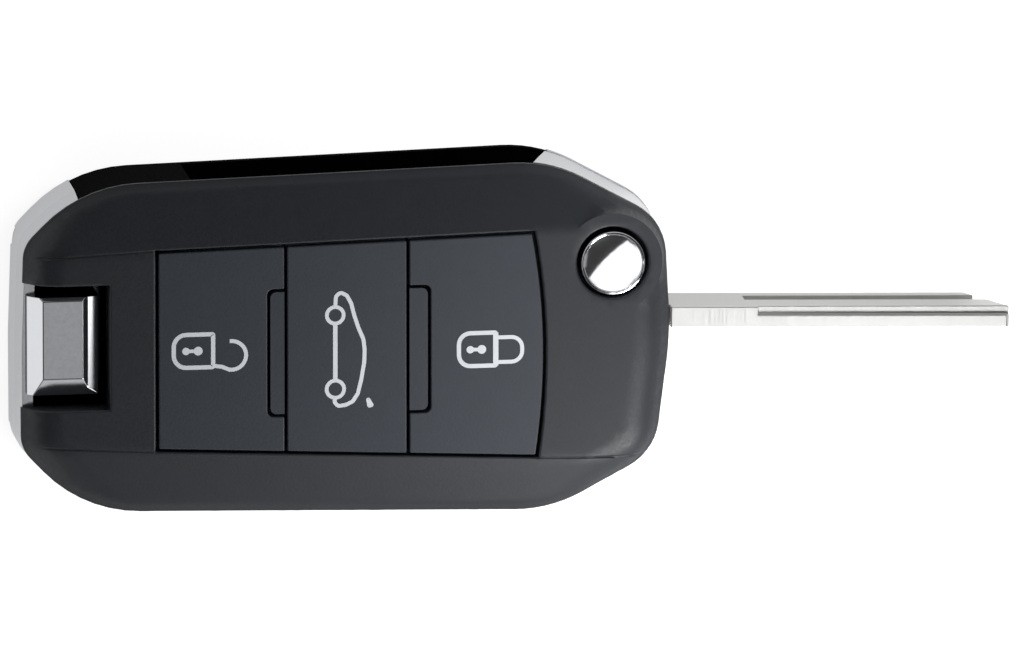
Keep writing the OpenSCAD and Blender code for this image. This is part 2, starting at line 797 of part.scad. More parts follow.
// Transponder coil: a winding between two ferrite cheeks
module transponder_coil() {
    winding = coil_length - 2 * cheek_thickness;
    color([0.35, 0.2, 0.12]) translate([coil[0], coil[1], board_seat - cheek_height]) {
        for (x = [-coil_length / 2, coil_length / 2 - cheek_thickness])
            translate([x, -cheek_width / 2, 0]) cube([cheek_thickness, cheek_width, cheek_height]);
        translate([-winding / 2, 0, cheek_height / 2]) rotate([0, 90, 0])
            cylinder(d = cheek_height * 0.85, h = winding);
    }
}

// Chip resistors: a row under the board and a row on it
module chip_parts() {
    size = [resistor_length, resistor_width, resistor_height];
    color([0.55, 0.45, 0.35]) {
        for (k = [0:4])
            translate([lower_row[0] + resistor_length * 1.5 * k, lower_row[1], board_seat - resistor_height])
                cube(size);
        for (k = [0:5])
            translate([upper_row[0] + resistor_length * 2.5 * k, upper_row[1], board_top]) cube(size);
    }
}

// Outline of the carrier with the blade open: barrel, blade block and heel
module carrier_area() {
    translate(pivot) circle(barrel_radius);
    intersection() {
        outline(-frame_proud / 2);
        polygon([
            [heel_front, far], [heel_front, blade_end_width / 2 - heel_thickness],
            pivot + [-heel_root[0], heel_root[1]], pivot - heel_root, pivot - [block_back, block_low],
            [far, pivot[1] - block_low], [far, far]]);
    }
}

// Places its children at the pivot and at mid blade, with +X along the open blade
module along_blade() {
    at_pivot(blade_mid) rotate([0, 0, blade_angle]) children();
}

// Round bar across the blade, from the inner to the outer distance from the pivot
module cross_bar(d, inner, outer) {
    along_blade() translate([pin_x, -outer, 0]) rotate([-90, 0, 0]) cylinder(d = d, h = outer - inner);
}

module blade_carrier() {
    slot_width = tang_width + 2 * fit;
    color([0.72, 0.73, 0.75]) difference() {
        union() {
            intersection() {
                wall(carrier_bottom, carrier_top) carrier_area();
                rotate([90, 0, 0]) translate([0, 0, -far]) linear_extrude(2 * far) polygon([
                    [heel_front, carrier_top], [heel_front + heel_slant, carrier_bottom],
                    [far, carrier_bottom], [far, carrier_top]]);
            }
            at_pivot(carrier_top - past) cylinder(r = neck_radius, h = neck_top - carrier_top + past);
        }
        at_pivot() cylinder(r = chamber_radius, h = blade_mid - chamber_wall / 2);
        at_pivot(chamber_floor)
            cylinder(r = chamber_radius, h = carrier_top - shoulder_height - chamber_floor);
        at_pivot(chamber_floor) cylinder(r = release_bore, h = far);
        along_blade()
            translate([-tang_back - fit, -blade_offset - blade_thickness / 2 - fit, -slot_width / 2])
            cube([far, blade_thickness + 2 * fit, slot_width]);
        cross_bar(pin_diameter + fit, pin_inner - fit, block_low + past);
    }
}

module key_blade() {
    half = blade_width / 2;
    tang = tang_width / 2;
    root = pivot_setback + 2 * pass_gap;
    mill = pivot_setback + shank_length;
    tip_edge = 0.3;
    color([0.82, 0.82, 0.83]) difference() {
        along_blade() translate([0, blade_thickness / 2 - blade_offset, 0]) rotate([90, 0, 0])
            linear_extrude(blade_thickness) polygon([
                [-tang_back, -tang], [root, -tang], [root, -half], [tip_reach - tip_length, -half],
                [tip_reach - tip_length * 0.12, half * 0.7], [tip_reach, half * 0.85],
                [tip_reach, half - tip_edge], [tip_reach - tip_edge, half], [root, half], [root, tang],
                [-tang_back, tang]]);
        along_blade() translate([0, -blade_offset, 0]) for (turn = [0, 180]) rotate([turn, 0, 0]) {
            translate([mill, blade_thickness / 2 - groove_depth, -groove_shift - groove_width / 2])
                cube([far, past + groove_depth, groove_width]);
            translate([mill + rebate_width, blade_thickness / 2 - rebate_width, half - rebate_depth])
                cube([far, past + rebate_width, past + rebate_depth]);
        }
        cross_bar(pin_diameter + fit, pin_inner - past, block_low + past);
    }
}

module blade_pin() {
    color([0.6, 0.6, 0.62]) cross_bar(pin_diameter, pin_inner, pin_outer);
}

module release_button() {
    radius = release_diameter / 2;
    top = button_face + release_proud;
    flat = radius - release_rim;
    dish_radius = (flat * flat + release_dish * release_dish) / (2 * release_dish);
    color([0.85, 0.86, 0.88]) at_pivot() difference() {
        rotate_extrude() polygon([
            [0, release_seat - flange_height], [flange_radius, release_seat - flange_height],
            [flange_radius, release_seat], [radius, release_seat], [radius, top - release_rim],
            [radius - release_rim * 0.3, top - release_rim * 0.3], [flat, top], [0, top]]);
        translate([0, 0, top - release_dish + dish_radius]) sphere(dish_radius);
    }
}

// Point k of a spring's middle line, which runs from radius r1 at z1 to radius r2 at z2
helix_steps = 24;
wire_sides = 6;
function helix_point(k, turns, r1, r2, z1, z2) =
    let (
        t = k / (turns * helix_steps),
        a = 360 * k / helix_steps,
        r = r1 + (r2 - r1) * t
    )
    [r * cos(a), r * sin(a), z1 + (z2 - z1) * t];

// Ring of the wire's surface about point p of the middle line
function wire_ring(p, wire) = [for (s = [0:wire_sides - 1])
    let (w = 360 * s / wire_sides, out = unit([0, 0], [p[0], p[1]]) * wire / 2 * cos(w))
    p + [out[0], out[1], wire / 2 * sin(w)]];

// One unbroken tube of wire wound on a cone or a cylinder
module wound_wire(turns, r1, r2, wire, z1, z2) {
    last = turns * helix_steps;
    path = [for (k = [0:last]) helix_point(k, turns, r1, r2, z1, z2)];
    points = [for (p = path) each wire_ring(p, wire)];
    n = wire_sides;
    sides = [for (k = [0:last - 1], s = [0:n - 1]) each [
        [n * k + s, n * k + (s + 1) % n, n * k + n + s],
        [n * k + (s + 1) % n, n * k + n + (s + 1) % n, n * k + n + s]]];
    caps = [for (s = [1:n - 2]) each [[0, s + 1, s], [n * last, n * last + s, n * last + s + 1]]];
    gaps = [for (k = [0:last - helix_steps]) norm(path[k + helix_steps] - path[k]) - wire];
    echo(str("least gap between turns ", min(gaps), " mm"));
    polyhedron(points, concat(sides, caps));
}

module release_spring() {
    foot_radius = chamber_radius - release_wire * 1.5;
    color([0.7, 0.7, 0.72]) at_pivot()
        wound_wire(2.5, foot_radius, foot_radius - release_wire * 3, release_wire,
            chamber_floor + release_wire / 2 + fit,
            release_seat - flange_height - release_wire / 2 - fit);
}

module flip_spring() {
    radius = (chamber_radius + post_diameter / 2) / 2;
    color([0.55, 0.55, 0.57]) at_pivot()
        wound_wire(2.5, radius, radius, flip_wire,
            well_floor + flip_wire / 2 + fit, blade_mid - chamber_wall - flip_wire / 2);
}

module pivot_washer() {
    rim = 0.2;
    color([0.6, 0.55, 0.4]) at_pivot(well_floor) difference() {
        cylinder(r = barrel_radius - rim, h = pass_gap - fit);
        translate([0, 0, -past]) cylinder(r = chamber_radius - rim, h = far);
    }
}

front_cover();
rear_cover();
side_frame();
key_ring_strap();
chassis();
button_frame();
unlock_button();
boot_button();
lock_button();
unlock_plunger();
boot_plunger();
lock_plunger();
switch_bodies();
circuit_board();
coin_cell();
battery_clip();
battery_contact();
controller_chip();
resonator_can();
transponder_coil();
chip_parts();
blade_carrier();
key_blade();
blade_pin();
release_button();
release_spring();
flip_spring();
pivot_washer();
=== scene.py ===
"""Looks of a three-button flip key fob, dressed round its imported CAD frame.

Every piece is in metres in the CAD frame: +X runs to the blade end, +Y to the side that the
blade folds into and +Z out of the button face. Sizes in the classes are in millimetres, apart
from those of the lamps, which are in metres.
"""

import json
import logging
import math
from dataclasses import dataclass, field
from enum import Enum
from typing import Any, Iterable, Sequence

import bmesh
import bpy
from mathutils import Matrix, Vector
from mathutils.bvhtree import BVHTree
from mathutils.geometry import delaunay_2d_cdt
from mathutils.kdtree import KDTree


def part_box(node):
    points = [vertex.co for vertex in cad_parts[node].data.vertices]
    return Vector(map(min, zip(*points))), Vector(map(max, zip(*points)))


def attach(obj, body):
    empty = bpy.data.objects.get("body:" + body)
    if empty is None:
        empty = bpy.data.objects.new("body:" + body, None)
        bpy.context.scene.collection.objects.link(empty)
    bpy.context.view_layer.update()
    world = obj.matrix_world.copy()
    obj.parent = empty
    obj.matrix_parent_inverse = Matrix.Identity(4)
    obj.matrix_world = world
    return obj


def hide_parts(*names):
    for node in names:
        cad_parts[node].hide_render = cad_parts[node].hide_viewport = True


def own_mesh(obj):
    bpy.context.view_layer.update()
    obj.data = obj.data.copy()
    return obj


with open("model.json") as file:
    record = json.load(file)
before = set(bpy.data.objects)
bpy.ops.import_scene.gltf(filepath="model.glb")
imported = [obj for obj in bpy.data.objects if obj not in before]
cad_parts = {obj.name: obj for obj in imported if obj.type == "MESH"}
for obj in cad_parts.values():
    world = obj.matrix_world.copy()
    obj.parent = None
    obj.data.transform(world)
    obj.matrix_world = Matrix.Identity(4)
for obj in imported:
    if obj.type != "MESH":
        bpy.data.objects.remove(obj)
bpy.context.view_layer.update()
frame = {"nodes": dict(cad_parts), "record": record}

Point = tuple[float, float]
Triple = tuple[float, float, float]
Loop = list[Vector]

MM = 0.001
UP = Vector((0.0, 0.0, 1.0))
# The blade's hinge is also the axis of the release button and of both springs
FLIP_JOINT = "blade_flip"
# Corners closer than this many millimetres are one corner
WELD_GAP = 0.0005
# Neighbouring CAD triangles within this many degrees make one flat face
FLAT_ANGLE = 0.4
# An edge whose ends differ by fewer millimetres in height lies level
LEVEL_GAP = 0.001
# Every rounded edge is made of this many strips
ROUND_STRIPS = 2
# Plan points closer than this many metres are one point
PLAN_GAP = 1e-8
# The Delaunay tool's choice that fills the whole hull with triangles
HULL_TRIANGLES = 0
# A corner of an outline that turns less than this, as a sine, is superfluous
STRAIGHT_SINE = 1e-4

log = logging.getLogger("key_fob")


class Body(Enum):
    """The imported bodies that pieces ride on."""

    CASE = "case"
    FLIP_BLADE = "flip_blade"
    RELEASE = "release"
    UNLOCK = "unlock"
    BOOT = "boot"
    LOCK = "lock"


def linear(colour: str) -> tuple[float, float, float, float]:
    """Turns an sRGB hex colour into linear RGBA by the standard's curve.

    Args:
        colour: six hex digits after a hash.

    Returns:
        The linear colour with full alpha.
    """
    parts = [int(colour[i:i + 2], 16) / 255 for i in (1, 3, 5)]
    return tuple(p / 12.92 if p <= 0.04045 else ((p + 0.055) / 1.055) ** 2.4 for p in parts) + (1.0,)


def per_mm(size: float) -> float:
    """Returns the texture scale at which one cell is this many millimetres wide."""
    return 1.0 / (size * MM)


def wire(tree: bpy.types.NodeTree, node: bpy.types.Node, inputs: dict[Any, Any]) -> bpy.types.Node:
    """Sets or links inputs of a node.

    Args:
        tree: the tree that the node is in.
        node: the node.
        inputs: a value or an output socket for each input's name or index.

    Returns:
        The same node.
    """
    for key, value in inputs.items():
        if isinstance(value, bpy.types.NodeSocket):
            tree.links.new(value, node.inputs[key])
        else:
            node.inputs[key].default_value = value
    return node


def add(tree: bpy.types.NodeTree, kind: str, inputs: dict[Any, Any] | None = None,
        **settings: Any) -> bpy.types.Node:
    """Adds a node with its settings and links.

    Args:
        tree: the tree that gets the node.
        kind: Blender's name of the node type.
        inputs: a value or an output socket for each input's name or index.
        settings: the node's own properties.

    Returns:
        The new node.
    """
    node = tree.nodes.new(kind)
    for key, value in settings.items():
        setattr(node, key, value)
    return wire(tree, node, inputs or {})


@dataclass(frozen=True)
class Finish:
    """One real material and how its surface was made."""

    name: str
    colour: str
    roughness: float

    def material(self) -> bpy.types.Material:
        """Makes the material at its first use.

        Returns:
            The material of this finish.
        """
        made = bpy.data.materials.get(self.name)
        if made is None:
            made = bpy.data.materials.new(self.name)
            made.use_nodes = True
            self.dress(made.node_tree, made.node_tree.nodes["Principled BSDF"])
        return made

    def dress(self, tree: bpy.types.NodeTree, shader: bpy.types.Node) -> None:
        """Adds this finish's nodes in front of the shader."""
        raise NotImplementedError


@dataclass(frozen=True)
class MouldedPlastic(Finish):
    """Plastic from a spark-eroded mould: a broad soft gloss over a fine even grain.

    The real grain is 0.05 to 0.1 mm wide and too fine to show, so it is drawn coarser.
    """

    pale: str = "#2c2e33"
    cloud: float = 3.0
    grain: float = 0.35
    depth: float = 0.012
    shine: float = 0.5
    gloss_spread: float = 0.05

    def dress(self, tree: bpy.types.NodeTree, shader: bpy.types.Node) -> None:
        """Adds a faint cloudiness of tone, and a grain that roughens and bumps the surface.

        Args:
            tree: the material's nodes.
            shader: its Principled shader.
        """
        place = add(tree, "ShaderNodeTexCoord").outputs["Object"]
        cloud = add(tree, "ShaderNodeTexNoise", {"Vector": place, "Scale": per_mm(self.cloud),
                                                 "Detail": 5.0, "Roughness": 0.65})
        tone = add(tree, "ShaderNodeMixRGB", {"Fac": cloud.outputs["Fac"],
                                              "Color1": linear(self.colour),
                                              "Color2": linear(self.pale)})
        grain = add(tree, "ShaderNodeTexNoise", {"Vector": place, "Scale": per_mm(self.grain),
                                                 "Detail": 2.0, "Roughness": 0.5})
        gloss = add(tree, "ShaderNodeMapRange",
                    {"Value": grain.outputs["Fac"], "From Min": 0.3, "From Max": 0.7,
                     "To Min": self.roughness - self.gloss_spread,
                     "To Max": self.roughness + self.gloss_spread})
        bump = add(tree, "ShaderNodeBump", {"Height": grain.outputs["Fac"],
                                            "Distance": self.depth * MM})
        wire(tree, shader, {"Base Color": tone.outputs[0], "Roughness": gloss.outputs[0],
                            "Normal": bump.outputs[0], "IOR": 1.5,
                            "Specular IOR Level": self.shine})


@dataclass(frozen=True)
class PlatedMetal(Finish):
    """Bright plating: clear reflections that waver a little, with faint handling marks."""

    ripple: float = 5.0
    depth: float = 0.01
    marks: float = 0.5
    gloss_range: Point = (0.85, 1.25)

    def dress(self, tree: bpy.types.NodeTree, shader: bpy.types.Node) -> None:
        """Adds a slow ripple to the surface and fine marks to its gloss.

        Args:
            tree: the material's nodes.
            shader: its Principled shader.
        """
        place = add(tree, "ShaderNodeTexCoord").outputs["Object"]
        ripple = add(tree, "ShaderNodeTexNoise",
                     {"Vector": place, "Scale": per_mm(self.ripple), "Detail": 2.0})
        marks = add(tree, "ShaderNodeTexNoise", {"Vector": place, "Scale": per_mm(self.marks),
                                                 "Detail": 6.0, "Roughness": 0.7})
        gloss = add(tree, "ShaderNodeMapRange",
                    {"Value": marks.outputs["Fac"], "From Min": 0.35, "From Max": 0.75,
                     "To Min": self.roughness * self.gloss_range[0],
                     "To Max": self.roughness * self.gloss_range[1]})
        bump = add(tree, "ShaderNodeBump", {"Height": ripple.outputs["Fac"],
                                            "Distance": self.depth * MM})
        wire(tree, shader, {"Base Color": linear(self.colour), "Metallic": 1.0,
                            "Roughness": gloss.outputs[0], "Normal": bump.outputs[0]})


@dataclass(frozen=True)
class ToolMarkedMetal(Finish):
    """Metal that shows the way its tool ran: fine parallel lines that spread the shine.

    Real tool lines are about 0.02 mm apart and too fine to show, so they are drawn coarser.
    """

    pitch: float = 0.3
    depth: float = 0.004
    turn: float = 0.0
    stretch: float = 0.04
    gloss_range: Point = (0.9, 1.12)

    def dress(self, tree: bpy.types.NodeTree, shader: bpy.types.Node) -> None:
        """Adds fine lines across +X, turned about Z, to the bump and the gloss.

        Args:
            tree: the material's nodes.
            shader: its Principled shader.
        """
        place = add(tree, "ShaderNodeTexCoord").outputs["Object"]
        turned = add(tree, "ShaderNodeMapping",
                     {"Vector": place, "Rotation": (0.0, 0.0, math.radians(self.turn)),
                      "Scale": (1.0, self.stretch, self.stretch)})
        lines = add(tree, "ShaderNodeTexNoise",
                    {"Vector": turned.outputs[0], "Scale": per_mm(self.pitch), "Detail": 3.0})
        gloss = add(tree, "ShaderNodeMapRange",
                    {"Value": lines.outputs["Fac"], "From Min": 0.3, "From Max": 0.7,
                     "To Min": self.roughness * self.gloss_range[0],
                     "To Max": self.roughness * self.gloss_range[1]})
        bump = add(tree, "ShaderNodeBump", {"Height": lines.outputs["Fac"],
                                            "Distance": self.depth * MM})
        wire(tree, shader, {"Base Color": linear(self.colour), "Metallic": 1.0,
                            "Roughness": gloss.outputs[0], "Normal": bump.outputs[0]})


# Matt black with a wide dim sheen, so that each slope of the cover has its own even tone
HOUSING = MouldedPlastic("Moulded polyamide black", "#1d2025", 0.5, pale="#23272d")
# A finer mould: bluer and a shade lighter than the housing, so that the caps stand off it
CAP = MouldedPlastic("Moulded ABS blue-black", "#2c3139", 0.5, pale="#333841", grain=0.3)
# A deep unlit wall of black plastic with painted shade: coloured near-black, far darker than the
# housing, so that the slot reads as shade; it takes the light up and gives next to no sheen
CHASSIS_SLOT_SHADE = MouldedPlastic("Moulded polyamide black with painted slot shade", "#020202", 0.9, pale="#040404", shine=0.02)
# Dense filled resin: a tighter sheen than the housing's
EPOXY = MouldedPlastic("Moulded epoxy black", "#141414", 0.45, pale="#1c1c1c", grain=0.15)
# A thin dry film: flat white that covers a little unevenly
INK = MouldedPlastic("Pad-printed ink white", "#d6dae0", 0.6, pale="#e4e8ec", cloud=0.8, grain=0.12,
                     depth=0.004, shine=0.2)
# Cured lacquer on laminate: deep green with a low gloss
MASK = MouldedPlastic("Solder mask green", "#0f4a2a", 0.3, pale="#14583a", cloud=1.0, grain=0.5,
                      depth=0.004)
# Fired bodies of small parts: dry tan with a fine speckle
CERAMIC = MouldedPlastic("Ceramic tan", "#a58a66", 0.5, pale="#b79c78", cloud=0.6, grain=0.2)
# Plate over smooth plastic: bright and dark bands with soft edges
CHROME = PlatedMetal("Chrome plate on ABS", "#dcdee2", 0.16)
# The same plate, buffed: a mirror in which the bands have clear edges
DISH = PlatedMetal("Polished chrome plate", "#d9dadd", 0.07, ripple=2.0, depth=0.006)
# Plate over a casting: bright, and wavier from the cast skin under it
ZINC = PlatedMetal("Chrome plate on zinc casting", "#dfe0e3", 0.2, ripple=3.0, depth=0.02)
# Turned zinc with painted shade: coloured nearly black down in its gap, with no clear reflection, to
# stand for the shade in the front cover's bore
NECK_SHADE = ToolMarkedMetal("Zinc neck painted dark as bore shade", "#17171a", 0.6, pitch=0.2)
# Milled, then plated: pale and silky, with lines across the blade
BLADE = ToolMarkedMetal("Nickel plate on milled steel", "#dadad8", 0.37, pitch=0.12, depth=0.0015)
# Drawn through a die: a narrow highlight broken by lines
WIRE = ToolMarkedMetal("Drawn spring wire", "#9a9b9e", 0.3, pitch=0.1, turn=90.0)
# Punched from rolled strip: warm yellow with the run of the roll
BRASS = ToolMarkedMetal("Stamped brass", "#c9ad6e", 0.32)
# Pressed from bright sheet: cool, clear and almost a mirror
CAN = ToolMarkedMetal("Pressed nickel steel", "#cfcfcc", 0.25)
# Dipped strip: a warmer grey with a softer shine than the can's
TIN = ToolMarkedMetal("Tinned steel strip", "#c3c1ba", 0.35)
# Lacquered winding: red-brown, with the close lines of its wire
COPPER = ToolMarkedMetal("Enamelled copper wire", "#b0653a", 0.3, pitch=0.15)

FINISH_OF_SLOT: dict[str, Finish] = {
    "housing_plastic": HOUSING,
    "button_plastic": CAP,
    # The chassis is black plastic darkened further with the painted shade of the slot
    "chassis_plastic": CHASSIS_SLOT_SHADE,
    "chrome_trim": CHROME,
    "carrier_chrome": ZINC,
    "blade_steel": BLADE,
    "spring_steel": WIRE,
    "washer_brass": BRASS,
    "board_laminate": MASK,
    "cell_steel": CAN,
    "tinned_steel": TIN,
    "component_black": EPOXY,
    "component_tan": CERAMIC,
    "coil_copper": COPPER,
}


def merged(node: str) -> bmesh.types.BMesh:
    """Copies a CAD node's mesh, with its loose triangles joined and its flat faces whole.

    Args:
        node: the node's name.

    Returns:
        The joined copy, in metres.
    """
    mesh = bmesh.new()
    mesh.from_mesh(frame["nodes"][node].data)
    bmesh.ops.remove_doubles(mesh, verts=mesh.verts, dist=WELD_GAP * MM)
    bmesh.ops.dissolve_limit(mesh, angle_limit=math.radians(FLAT_ANGLE), verts=mesh.verts,
                             edges=mesh.edges)
    return mesh


def new_piece(name: str, mesh: bmesh.types.BMesh, sharp: float | None = 35.0) -> bpy.types.Object:
    """Makes an object of a mesh, smooth except at its sharp edges.

    Args:
        name: the piece's name.
        mesh: its mesh, in metres, which is used up.
        sharp: the angle in degrees above which an edge is sharp, or None to keep the mesh's own marks.

    Returns:
        The new object, in the scene.
    """
    data = bpy.data.meshes.new(name)
    mesh.to_mesh(data)
    mesh.free()
    data.shade_smooth()
    if sharp is not None:
        data.set_sharp_from_angle(angle=math.radians(sharp))
    piece = bpy.data.objects.new(name, data)
    bpy.context.scene.collection.objects.link(piece)
    return piece


def applied(piece: bpy.types.Object) -> bpy.types.Object:
    """Turns a piece and its modifiers into one plain mesh.

    Args:
        piece: the object with its modifiers.

    Returns:
        The same object, without them.
    """
    graph = bpy.context.evaluated_depsgraph_get()
    piece.data = bpy.data.meshes.new_from_object(piece.evaluated_get(graph), depsgraph=graph)
    piece.modifiers.clear()
    return piece


def joined(name: str, parts: Sequence[bpy.types.Object]) -> bpy.types.Object:
    """Joins pieces into one mesh object, without faces and edges that have shrunk to nothing.

    Args:
        name: the new piece's name.
        parts: the pieces, which are removed.

    Returns:
        The new piece.
    """
    whole = bmesh.new()
    for part in parts:
        whole.from_mesh(part.data)
        bpy.data.objects.remove(part)
    bmesh.ops.remove_doubles(whole, verts=whole.verts, dist=WELD_GAP * MM)
    loose = [edge for edge in whole.edges if not edge.link_faces]
    bmesh.ops.delete(whole, geom=loose, context="EDGES")
    return new_piece(name, whole)


def softened(node: str, radius: float, angle: float = 28.0,
             level_angle: float | None = None) -> bpy.types.Object:
    """Makes a piece like a CAD node with its edges rounded.

    Args:
        node: the node's name.
        radius: the rounding in millimetres.
        angle: the angle in degrees above which an edge is rounded.
        level_angle: the same for edges level with the table, where it differs.

    Returns:
        The piece, named after the node.
    """
    mesh = merged(node)
    weight = mesh.edges.layers.float.new("bevel_weight_edge")
    for edge in mesh.edges:
        level = abs(edge.verts[0].co.z - edge.verts[1].co.z) < LEVEL_GAP * MM
        limit = level_angle if level and level_angle is not None else angle
        if len(edge.link_faces) == 2 and edge.calc_face_angle() > math.radians(limit):
            edge[weight] = 1.0
            edge.smooth = False
    piece = new_piece(f"{node}_finished", mesh, None)
    bevel = piece.modifiers.new("Rounded edges", "BEVEL")
    bevel.width = radius * MM
    bevel.segments = ROUND_STRIPS
    bevel.limit_method = "WEIGHT"
    bevel.use_clamp_overlap = False
    bevel.harden_normals = True
    return applied(piece)


def seat(piece: bpy.types.Object, body: Body, slot: str, finish: Finish | None = None,
         replaces: Iterable[str] = ()) -> bpy.types.Object:
    """Dresses a finished piece and fastens it to its body.

    Args:
        piece: the finished object.
        body: the body that carries it.
        slot: the record's material slot.
        finish: its finish, if it isn't the slot's own.
        replaces: the CAD nodes that it stands for.

    Returns:
        The same object.
    """
    piece.data.materials.clear()
    piece.data.materials.append((finish or FINISH_OF_SLOT[slot]).material())
    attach(piece, body.value)
    for node in replaces:
        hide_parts(node)
    log.info("%s rides on %s", piece.name, body.value)
    return piece


def dress_nodes() -> None:
    """Gives every CAD node the finish of its slot."""
    for part in frame["record"]["subparts"]:
        finish = FINISH_OF_SLOT[part["material_slot"]]
        node = frame["nodes"][part["node"]]
        node.data.materials.clear()
        node.data.materials.append(finish.material())
        log.info("%s is %s", part["node"], finish.name)


def hinge_point(joint: str) -> Vector:
    """Returns the place of a joint of the record, in metres."""
    joints = frame["record"]["behaviour"]["joints"]
    return Vector(next(j for j in joints if j["name"] == joint)["pos_m"])


def round_pairs(items: Sequence[Any]) -> list[tuple[Any, Any]]:
    """Returns each item of a closed round with the one after it."""
    return list(zip(items, [*items[1:], items[0]]))


def section_loops(mesh: bmesh.types.BMesh, height: float) -> list[Loop]:
    """Cuts a mesh level with the table.

    Args:
        mesh: the mesh, which stays as it is.
        height: the height of the cut in metres.

    Returns:
        The closed outlines of the cut, in plan.
    """
    copy = mesh.copy()
    cut = bmesh.ops.bisect_plane(copy, geom=copy.verts[:] + copy.edges[:] + copy.faces[:],
                                 dist=PLAN_GAP, plane_co=UP * height, plane_no=UP)["geom_cut"]
    edges = dict.fromkeys(e for e in cut if isinstance(e, bmesh.types.BMEdge))
    loops: list[Loop] = []
    while edges:
        edge, _ = edges.popitem()
        first, vert = edge.verts
        loop = [first.co.xy, vert.co.xy]
        while vert is not first:
            edge = next((e for e in vert.link_edges if e in edges), None)
            if edge is None:
                break
            del edges[edge]
            vert = edge.other_vert(vert)
            loop.append(vert.co.xy)
        loops.append([p.copy() for p in loop[:-1]])
    copy.free()
    return loops


def signed_area(loop: Sequence[Vector]) -> float:
    """Returns the area of a loop, positive where it runs counter-clockwise."""
    return sum(a.x * b.y - b.x * a.y for a, b in round_pairs(loop)) / 2


def area(loop: Sequence[Vector]) -> float:
    """Returns the area of a loop, whichever way it runs."""
    return abs(signed_area(loop))


def running(loop: Loop, sign: int) -> Loop:
    """Returns a loop that runs counter-clockwise for a sign of 1, and clockwise for -1."""
    return loop if signed_area(loop) * sign > 0 else loop[::-1]


def is_inside(point: Vector, loop: Sequence[Vector]) -> bool:
    """Tells whether a point is inside a closed loop.

    Args:
        point: the point in plan.
        loop: the loop's corners.

    Returns:
        True where it is inside.
    """
    odd = False
    for a, b in round_pairs(loop):
        if (a.y > point.y) != (b.y > point.y):
            if point.x < a.x + (point.y - a.y) / (b.y - a.y) * (b.x - a.x):
                odd = not odd
    return odd


def divided(a: Vector, b: Vector, step: float) -> Loop:
    """Divides the straight way between two points.

    Args:
        a: its start.
        b: its end.
        step: the longest part, in metres.

    Returns:
        The points, with both ends.
    """
    parts = max(1, math.ceil((b - a).length / step))
    return [a.lerp(b, k / parts) for k in range(parts + 1)]


def resampled(loop: Sequence[Vector], step: float) -> Loop:
    """Divides the sides of a loop, without its superfluous points.

    Args:
        loop: the loop's corners.
        step: the longest side, in metres.

    Returns:
        The divided loop.
    """
    kept: Loop = []
    for i, p in enumerate(loop):
        before = (p - loop[i - 1]).normalized()
        after = (loop[(i + 1) % len(loop)] - p).normalized()
        if abs(before.cross(after)) > STRAIGHT_SINE:
            kept.append(p)
    return [p for a, b in round_pairs(kept) for p in divided(a, b, step)[:-1]]


def offset(loop: Sequence[Vector], distance: float) -> Loop:
    """Moves a loop to its left, with mitred corners.

    Args:
        loop: the loop's corners.
        distance: how far it moves, in metres.

    Returns:
        The moved loop.
    """
    out: Loop = []
    for i, p in enumerate(loop):
        before = (p - loop[i - 1]).normalized()
        after = (loop[(i + 1) % len(loop)] - p).normalized()
        n1, n2 = Vector((-before.y, before.x)), Vector((-after.y, after.x))
        out.append(p + (n1 + n2) * (distance / (1 + n1.dot(n2))))
    return out


def middle_of(face: Sequence[int], points: Sequence[Vector]) -> Vector:
    """Returns the middle of a triangle of plan points."""
    return sum((points[i] for i in face), Vector((0.0, 0.0))) / 3


def search_tree(points: Sequence[Vector]) -> KDTree:
    """Sorts plan points for searches of the nearest one.

    Args:
        points: the points.

    Returns:
        The tree, with the points at height 0.
    """
    tree = KDTree(len(points))
    for k, p in enumerate(points):
        tree.insert(p.to_3d(), k)
    tree.balance()
    return tree


@dataclass
class Plan:
    """Points of a plan, and the edges between them that its mesh has to keep."""

    points: Loop = field(default_factory=list)
    edges: list[tuple[int, int]] = field(default_factory=list)

    def lay(self, line: Sequence[Vector], closed: bool = False) -> None:
        """Adds a line of points with its edges.

        Args:
            line: the points in order.
            closed: whether the last point joins the first.
        """
        start, end = len(self.points), len(self.points) + len(line) - 1
        self.points.extend(line)
        self.edges.extend((k, k + 1) for k in range(start, end))
        if closed:
            self.edges.append((end, start))


